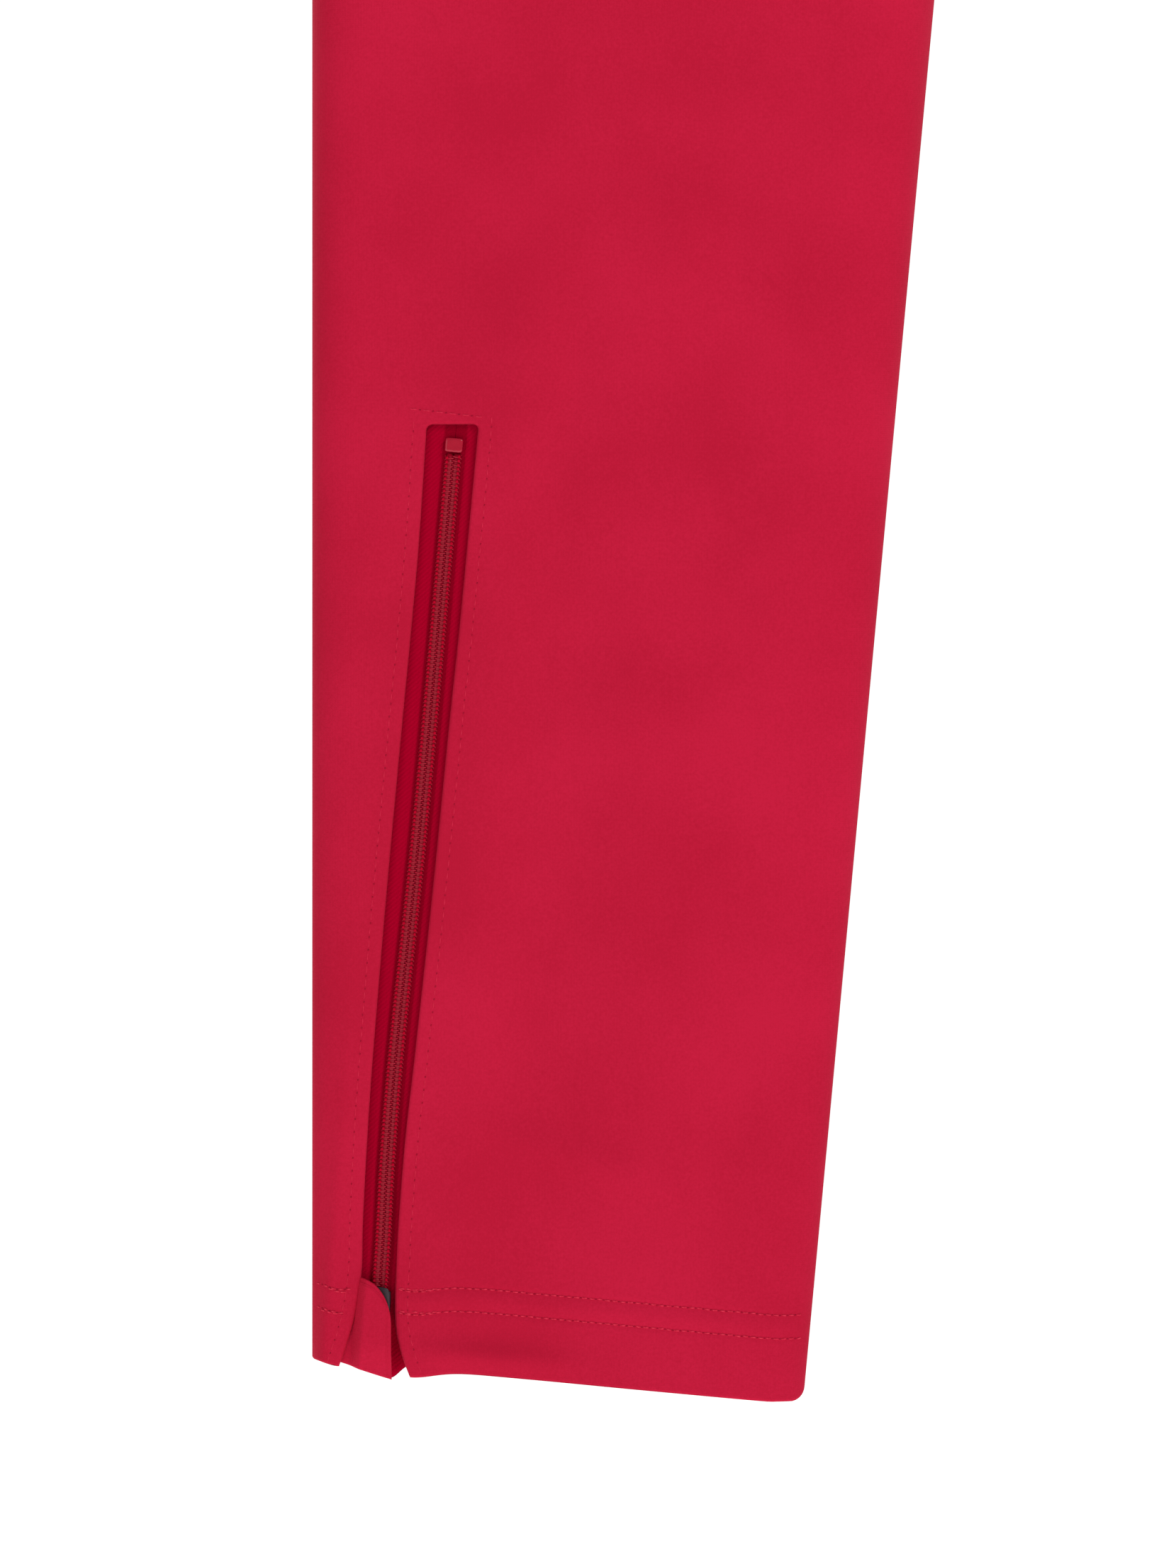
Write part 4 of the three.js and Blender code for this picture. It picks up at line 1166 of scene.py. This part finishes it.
def flap_grid():
    """Columns across from the root to the free edge, and rows from the hem up to the round top. The
    flap climbs over the slider in an S and stands highest over the puller. Its edge is a ledge with a
    stitched bead just inside it."""
    share = np.concatenate([np.linspace(0, 0.88, 44), np.linspace(0.885, 1, 24)])[None, :]
    rise = np.concatenate([np.linspace(0, 0.07, 8), np.linspace(0.09, 0.9, 34),
                           np.linspace(0.905, 1, 20)])[:, None]
    across = FLAP_ROOT + (FLAP_EDGE - FLAP_ROOT) * share
    foot = 12.6 - (across - 9.5) * 0.225
    bow = np.clip((across - FLAP_SHOULDER) / (FLAP_EDGE - FLAP_SHOULDER), 0, 1)
    top = 27.0 + 15.0 * np.sqrt(np.clip(1 - bow ** 2.1, 0, 1))
    height = foot + (top - foot) * rise
    beside = (LEG_INSET + across - chain_x(height)) * math.cos(math.atan(SLANT))
    along = (height - FOOT_HEIGHT) / ZIP_UP[2]
    climb = smooth(beside, -8.6, -3.6)
    tall = FLAP_TALL - 1.9 * smooth(-height, -20, -9) - 0.5 * smooth(beside, 1, 6)
    off = FLAP_REST + (tall - FLAP_REST) * climb
    from_edge = np.minimum((FLAP_EDGE - across), (top - height) * 0.9 + 0 * across)
    ledge = 0.45 * (1 - smooth(from_edge, 1.25, 1.55)) + 0.2 * bump(from_edge, 1.75, 0.25)
    off = off - ledge - edge_curl(from_edge, 0.6) - edge_curl(height - foot, 0.7)
    flat = stacked(across, height)
    return beside, off, along, flat


flaps = {}
for leg in FRAMES:
    beside, off, along, flat = flap_grid()
    points = on_zip(leg, beside, off, along)
    piece = grid_object("flap_cloth_" + leg, points, flat, None, towards(0, -1, 0))
    flaps[leg] = thicken(piece, FLAP)
    belongs(piece, "zip_garage_flap_" + leg)
print("flaps:", len(flaps["left"].data.polygons), "faces each")

# %% [markdown]
# ## Waistband
# The band is a tube of the knit sewn over stretched elastic. When the elastic draws up, the cloth
# puckers into fine upright pleats between the rows of stitching. The band is swept round the
# waist's ellipse, and the pleats are a sum of waves round it that die out at the rows.

# %% Make the waistband
BAND_STEPS = 1100
BAND_HALF = 2.3
WAIST_RUN = 121
PLEAT = 0.20


def ellipse_sweep(section_in, section_up, ripple, steps):
    """Each section point carried round the ellipse, inwards by its first number and up by its
    second, with ripple added to the first."""
    angle = full_turn(steps)[:, None]
    x = WAIST_HALF_WIDTH * np.cos(angle)
    y = WAIST_HALF_DEPTH * np.sin(angle)
    inward = unit(stacked(-WAIST_HALF_DEPTH * np.cos(angle), -WAIST_HALF_WIDTH * np.sin(angle)))
    deep = section_in[None, :] + ripple(angle, section_up[None, :])
    return stacked(x + deep * inward[..., 0], y + deep * inward[..., 1], section_up[None, :])


def pleats(angle, up):
    """Waves round the waist that vanish at the two stitched rows and at the folds."""
    dice = np.random.default_rng(5)
    total = 0
    for waves in (110, 154, 86, 203):
        total = total + np.sin(waves * angle + dice.uniform(0, 6.3) + 0.03 * up)
    share = -up / BAND_HEIGHT
    between = np.abs(np.sin(np.clip(share, 0, 1) * 3 * math.pi)) ** 0.7
    return -PLEAT * (total + 1.2) * between


def band_section():
    """Up the outside, over the top fold and down the inside."""
    up_out = np.linspace(-BAND_HEIGHT, -1.4, 34)
    turn = np.linspace(0, math.pi, 9)[1:-1]
    fold_in = BAND_HALF * (1 - np.cos(turn))
    fold_up = -1.4 + 1.4 * np.sin(turn)
    up_in = up_out[::-1]
    return (np.concatenate([0 * up_out, fold_in, 0 * up_in + 2 * BAND_HALF]),
            np.concatenate([up_out, fold_up, up_in]))


deep, up = band_section()
band_points = ellipse_sweep(deep, up, pleats, BAND_STEPS)
ring = np.linspace(0, 2 * math.pi, BAND_STEPS)[:, None]
run_up = np.cumsum(np.append(0, np.hypot(np.diff(deep), np.diff(up))))[None, :]
flat = stacked(ring * WAIST_RUN, run_up)


def away_from_band(centres):
    """Outwards from the ring's own middle line, and up."""
    angle = np.arctan2(centres[:, 1] / WAIST_HALF_DEPTH, centres[:, 0] / WAIST_HALF_WIDTH)
    spine = stacked((WAIST_HALF_WIDTH - BAND_HALF) * np.cos(angle),
                      (WAIST_HALF_DEPTH - BAND_HALF) * np.sin(angle), 0 * angle - BAND_HEIGHT / 2)
    return (centres - spine) * np.array([1, 1, 0.05])


band = grid_object("band_cloth", band_points.transpose(1, 0, 2), flat.transpose(1, 0, 2), None,
                   away_from_band, wrap=True)
thicken(band, CLOTH)
belongs(band, "waistband")
print("waistband:", len(band.data.polygons), "faces before thickness")

# %% Stitch rows round the waistband
def band_row(up):
    """Stitches all round at one height, just proud of the cloth."""
    count = 250
    angle = full_turn(count)
    x, y = WAIST_HALF_WIDTH * np.cos(angle), WAIST_HALF_DEPTH * np.sin(angle)
    spot = stacked(x, y, 0 * angle + up)
    ahead = unit(stacked(-WAIST_HALF_WIDTH * np.sin(angle), WAIST_HALF_DEPTH * np.cos(angle), 0 * x))
    out = np.cross(ahead, np.array([0, 0, 1.0]))
    return stitch_row(spot + out * 0.1, ahead, out, 2.3, THREAD)


row_heights = (-BAND_HEIGHT / 3, -2 * BAND_HEIGHT / 3, -BAND_HEIGHT + 1)
band_thread = mesh_object("band_thread", *outwards(*joined([band_row(up) for up in row_heights])))
belongs(band_thread, None)
threads.append(band_thread)

# %% [markdown]
# ## Inside the waist
# The elastic is a ribbed woven web in the band's channel. The care label is a blank strip of satin
# folded in half and caught in the band's seam. The eyelets are pressed rings: a turned profile.

# %% Elastic, label and eyelets
def rib(angle, up):
    return 0.12 * np.cos(2 * math.pi * up / 2.4) + 0 * angle


def web_section():
    """Round a flat web: up its outer face, over, and down its inner face."""
    up = np.linspace(-BAND_HEIGHT + 1.6, -1.8, 60)
    return np.concatenate([0 * up + 1.5, 0 * up + 3.1]), np.concatenate([up, up[::-1]])


WEB_STEPS = 160
web = closed_ring(ellipse_sweep(*web_section(), rib, WEB_STEPS))
elastic = mesh_object("elastic_web", *outwards(*web))
belongs(elastic, "waist_elastic")

label_low, label_high = (np.array(corner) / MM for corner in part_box("care_label"))
share = np.linspace(-1, 1, 24)[None, :]
fall = np.linspace(0, 1, 40)[:, None]
label_points = stacked(
    label_high[0] * share,
    label_high[1] - 0.1 - 2.2 * fall ** 2 + 0.8 * fall * np.cos(2.2 * share) - 0.4 * fall,
    label_high[2] - (label_high[2] - label_low[2]) * fall)
label_flat = stacked(label_high[0] * share, 45 * fall)
label = thicken(grid_object("blank_satin_label", label_points, label_flat, None, towards(0, -1, 0)), 0.3)
belongs(label, "care_label")

eyelets = []
for leg in FRAMES:
    low, high = (np.array(corner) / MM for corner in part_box("drawcord_eyelet_" + leg))
    centre = (low + high) / 2
    turn = full_turn(22)[:, None]
    round_angle = full_turn(56)[None, :]
    radius = 3.7 + 1.3 * np.cos(turn)
    front = low[1] + 0.45 - 0.45 * np.sin(turn)
    barrel = smooth(-radius, -3.2, -2.4) * 1.1 * (np.sin(turn) < 0)
    turned = stacked(centre[0] + radius * np.cos(round_angle), front + barrel,
                     centre[2] + radius * np.sin(round_angle))
    piece = mesh_object("pressed_eyelet_" + leg, *outwards(*closed_ring(turned)))
    belongs(piece, "drawcord_eyelet_" + leg)
    eyelets.append(piece)
print("inside of the waist: elastic, label and", len(eyelets), "eyelets")

# %% [markdown]
# ## Knit
# The cloth is a polyester interlock knit. It is matt, with a faint sheen at grazing angles, because
# its loops stand up from the surface like very short fur. Its ribs are 0.9 mm apart, which is
# barely seen, so they are a fine bump, with a broad, weak unevenness of colour from the dyeing.

# %% Knit material
def flat_coordinates(tree):
    """The place on the flat cloth, in metres, as two numbers."""
    uv = add(tree, "ShaderNodeUVMap", {"uv_map": "flat"})
    split = add(tree, "ShaderNodeSeparateXYZ", inputs={0: uv.outputs[0]})
    return split.outputs[0], split.outputs[1]


def stripes(tree, coordinate, pitch):
    """A wave from -1 to 1 along a coordinate, one every pitch metres."""
    return math_node(tree, "SINE", math_node(tree, "MULTIPLY", coordinate, 2 * math.pi / pitch))


def interlock_knit(name, colour, deep_colour):
    """Matt dyed knit. Two crossing waves are its loops, and a broad noise shifts its colour."""
    material, tree, shader = new_material(name, {
        "Roughness": 0.9, "Specular IOR Level": 0.12, "Sheen Weight": 0.05, "Sheen Roughness": 0.4,
        "Sheen Tint": linear("#ff6a80")})
    u, v = flat_coordinates(tree)
    broad, grain = noise(tree, 16.0, 4.0), noise(tree, 1100.0, 2.0)
    blend = math_node(tree, "MULTIPLY_ADD", grain, 0.4, math_node(tree, "MULTIPLY", broad, 0.6))
    ramp = add(tree, "ShaderNodeValToRGB", inputs={0: blend})
    for stop, place, shade in zip(ramp.color_ramp.elements, (0.38, 0.62), (deep_colour, colour)):
        stop.position = place
        stop.color = linear(shade)
    loops = math_node(tree, "MULTIPLY_ADD", stripes(tree, u, 0.9 * MM), 0.5,
                      math_node(tree, "MULTIPLY", stripes(tree, v, 0.7 * MM), 0.35))
    fuzz = math_node(tree, "MULTIPLY", grain, 1.4)
    plug(tree, shader, "Base Color", ramp.outputs[0])
    emboss(tree, shader, math_node(tree, "ADD", loops, fuzz), 0.25, 0.12)
    return material


def dress(pieces, material):
    """Gives each piece its one material."""
    for piece in pieces:
        piece.data.materials.append(material)


knit = interlock_knit("polyester_interlock_knit", "#c4173b", "#b81133")
dress([*fronts.values(), *backs.values(), *flaps.values(), band], knit)

# %% [markdown]
# ## Sewing thread, tape and nylon
# Sewing thread is spun polyester, twisted from plies, a touch lighter than the cloth, and darker
# where a needle hole shades it. The tape is a polyester twill whose ribs run at a slant, and it is a
# darker red. The coil is drawn nylon, which is smooth and a little glossy.

# %% Thread, tape and coil materials
def spun_thread(name, colour, ply_colour):
    """Twisted plies as slanted stripes, about 0.9 mm apart, so that a thread isn't one flat colour."""
    material, tree, shader = new_material(name, {"Roughness": 0.8, "Specular IOR Level": 0.08})
    turned = add(tree, "ShaderNodeMapping", inputs={0: object_place(tree), "Rotation": (0.3, 0.2, 0.9)})
    plies = add(tree, "ShaderNodeTexWave", {"wave_type": "BANDS"},
                {"Vector": turned.outputs[0], "Scale": 1 / (3 * MM)}).outputs[1]
    plug(tree, shader, "Base Color", mix(tree, plies, colour, ply_colour))
    emboss(tree, shader, plies, 0.4, 0.06)
    return material


def twill_tape(name, colour, rib_colour, painted_shade_colour):
    """Slanted ribs 1.7 mm apart, crossed by finer threads. Beside the coil the tape is pulled down by
    its sewing, and it is painted darker there as shade."""
    material, tree, shader = new_material(name, {"Roughness": 0.9, "Specular IOR Level": 0.02})
    u, v = flat_coordinates(tree)
    ribs = stripes(tree, math_node(tree, "SUBTRACT", v, u), 1.7 * MM)
    fine = stripes(tree, v, 0.45 * MM)
    weave = math_node(tree, "MULTIPLY_ADD", ribs, 0.6, math_node(tree, "MULTIPLY", fine, 0.25))
    share = math_node(tree, "MULTIPLY_ADD", weave, 0.5, 0.5)
    # Within 3.4 to 4.1 mm of the middle the colour fades to a darker red: painted shade beside the coil.
    beside = add(tree, "ShaderNodeMapRange", inputs={
        0: math_node(tree, "ABSOLUTE", u), 1: 3.4 * MM, 2: 4.1 * MM, 3: 1.0, 4: 0.0}).outputs[0]
    plug(tree, shader, "Base Color", mix(tree, beside, mix(tree, share, colour, rib_colour), painted_shade_colour))
    emboss(tree, shader, weave, 0.4, 0.15)
    return material


def drawn_nylon(name, colour, deep_colour):
    """Smooth monofilament with slight streaks."""
    material, tree, shader = new_material(name, {"Roughness": 0.42, "IOR": 1.53, "Specular IOR Level": 0.22})
    plug(tree, shader, "Base Color", mix(tree, noise(tree, 700.0, 1.0), deep_colour, colour))
    return material


dress(threads, spun_thread("spun_polyester_thread", "#cc2340", "#da3550"))
dress(edge_threads, spun_thread("spun_polyester_edge_thread", "#c81f3f", "#d02a48"))
# The needle-hole grains are a darker red: painted shade in the holes.
dress(needle_hole_shades, spun_thread("shaded_needle_hole", "#a00d2b", "#a61130"))
dress(coil_threads, spun_thread("coil_sewing_thread", "#b00024", "#b80028"))
# The tape's last colour is the painted shade beside the coil.
dress(tapes, twill_tape("polyester_twill_tape", "#a40024", "#b20129", "#93001e"))
dress(coils, drawn_nylon("drawn_nylon_monofilament", "#ab0528", "#920220"))

# %% [markdown]
# ## Metal, elastic and satin
# The slider is zinc with a dark gunmetal plating, slightly worn and mottled. The stops are brass
# under thick red enamel, which reflects like glass. The elastic is an off-white web and the label
# is white satin, whose threads lie along its length and shine.

# %% Metal, elastic and satin materials
def plated_zinc(name, colour, worn_colour):
    """Dark plating whose roughness and shade wander a little, as it wears."""
    material, tree, shader = new_material(name, {"Metallic": 0.9})
    wear = noise(tree, 420.0, 4.0)
    rough = add(tree, "ShaderNodeMapRange", inputs={0: wear, 3: 0.28, 4: 0.5})
    plug(tree, shader, "Base Color", mix(tree, wear, colour, worn_colour))
    plug(tree, shader, "Roughness", rough.outputs[0])
    emboss(tree, shader, wear, 0.15, 0.05)
    return material


def enamel(name, colour, edge_colour):
    """A soft red under a thick clear gloss, with pooled colour."""
    material, tree, shader = new_material(name, {
        "Roughness": 0.5, "Specular IOR Level": 0.1, "Coat Weight": 0.8, "Coat Roughness": 0.05})
    plug(tree, shader, "Base Color", mix(tree, noise(tree, 300.0, 2.0), colour, edge_colour))
    return material


def woven_web(name, colour, groove_colour, pitch, sheen):
    """Ribs across a flat web, from the object's own height. More sheen makes it smoother too."""
    material, tree, shader = new_material(name, {"Roughness": 0.75 - 0.3 * sheen, "Sheen Weight": sheen})
    split = add(tree, "ShaderNodeSeparateXYZ", inputs={0: object_place(tree)})
    share = math_node(tree, "MULTIPLY_ADD", stripes(tree, split.outputs[2], pitch), 0.5, 0.5)
    plug(tree, shader, "Base Color", mix(tree, share, groove_colour, colour))
    emboss(tree, shader, share, 0.4, 0.1)
    return material


dress([*metal, *eyelets], plated_zinc("gunmetal_plated_zinc", "#3b3237", "#5a4d53"))
dress(stops, enamel("red_enamel_on_brass", "#b4002a", "#9e0022"))
dress([elastic], woven_web("woven_elastic_webbing", "#efece6", "#cfccc5", 2.4 * MM, 0.1))
dress([label], woven_web("white_polyester_satin", "#f6f5f2", "#e9e8e4", 0.3 * MM, 0.4))

# %% [markdown]
# ## Areas of the cloth
# The area of each leg panel and flap is measured from its mesh and printed beside the size it was
# cut to.

def sheet_area(thing):
    """One face's area of a sheet before it is thickened, in square metres."""
    areas = np.empty(len(thing.data.polygons))
    thing.data.polygons.foreach_get("area", areas)
    return areas.sum()


for leg, side in LEGS:
    hem_thread = bpy.data.objects["hem_thread_" + leg]
    window_thread = bpy.data.objects["window_thread_" + leg]
    for piece, width, length, extras in (
        (fronts[leg], 0.300, 1.042, [hem_thread, window_thread]),
        (backs[leg], 0.300, 1.042, [bpy.data.objects["back_hem_thread_" + leg]]),
    ):
        area = min(round(float(sheet_area(piece)), 4), width * length)
        print(piece.name, "cut from", width, "by", length, "m, area", area, "m2")
    flap_area = round(float(sheet_area(flaps[leg])), 5)
    print(flaps[leg].name, "cut from 0.027 by 0.036 m, area", flap_area, "m2")

# %% [markdown]
# ## Studio
# Plain and pale: a white surround, a white floor below the hanging hems and broad soft lamps. The
# surround is brighter to the eye of the camera than to the cloth, so the background stays clean
# white while the folds keep their shade.

# %% Floor and surround
def make_floor():
    """A wide flat disc under the garment."""
    angle = full_turn(96)[None, :]
    radius = np.array([10.0, 4000, 12000, 40000])[:, None]
    points = stacked(radius * np.cos(angle), radius * np.sin(angle),
                                          cad_low[2] - 260 + 0 * angle)
    floor = grid_object("studio_floor", points, None, None, towards(0, 0, 1), wrap=True)
    dress([floor], new_material("white_studio_floor", {
        "Base Color": linear("#f4f4f4"), "Roughness": 0.9,
        "Emission Color": (1, 1, 1, 1), "Emission Strength": 0.78})[0])


def make_surround(seen, cast):
    """White to the camera at one strength, and to everything else at another."""
    world = bpy.data.worlds.new("studio_surround")
    bpy.context.scene.world = world
    world.use_nodes = True
    tree = world.node_tree
    tree.nodes.clear()
    path = add(tree, "ShaderNodeLightPath")
    strength = add(tree, "ShaderNodeMapRange",
                   inputs={0: path.outputs["Is Camera Ray"], 3: cast, 4: seen})
    sky = add(tree, "ShaderNodeBackground", inputs={"Color": (1, 1, 1, 1), "Strength": strength.outputs[0]})
    add(tree, "ShaderNodeOutputWorld", inputs={"Surface": sky.outputs[0]})


make_floor()
make_surround(seen=1.05, cast=0.27)


# %% Lamps
def soft_lamp(name, place, aim, size, power):
    """A square area lamp that faces a point."""
    lamp = bpy.data.lights.new(name, "AREA")
    lamp.shape = "SQUARE"
    lamp.size = size
    lamp.energy = power
    thing = bpy.data.objects.new(name, lamp)
    bpy.context.scene.collection.objects.link(thing)
    thing.location = place
    thing.rotation_mode = "QUATERNION"
    thing.rotation_quaternion = (Vector(aim) - Vector(place)).to_track_quat("-Z", "Y")


soft_lamp("key", (1.9, -2.8, 1.3), (0.1, 0, -0.7), 1.4, 46)
soft_lamp("fill", (-2.4, -3.0, -0.4), (0.1, 0, -0.7), 1.8, 11)
soft_lamp("back", (-1.6, 2.8, 1.4), (0, 0, -0.5), 1.8, 42)

# %% [markdown]
# ## Camera
# Square on to the front of the left ankle, with a long lens, so that the leg shows no perspective.

# %% Camera
# In metres: the plane of the leg's face, the camera's distance, how much it sees and where it looks.
LEG_PLANE = -0.014
DISTANCE = 3.2
VIEW_HEIGHT = 0.531
LOOK_X, LOOK_Z = 0.1508, -0.8402
camera_data = bpy.data.cameras.new("camera")
camera_data.sensor_width = 36
camera_data.lens = 36 * (DISTANCE + LEG_PLANE) / VIEW_HEIGHT
camera = bpy.data.objects.new("camera", camera_data)
bpy.context.scene.collection.objects.link(camera)
camera.location = (LOOK_X, -DISTANCE, LOOK_Z)
camera.rotation_euler = (math.pi / 2, 0, 0)
camera_data.clip_start = 0.05
camera_data.clip_end = 100
bpy.context.scene.camera = camera
bpy.context.scene.view_settings.view_transform = "Standard"

# %% Size of the CAD frame
print("cad", [tuple(round(c, 4) for c in corner) for corner in cad_box])
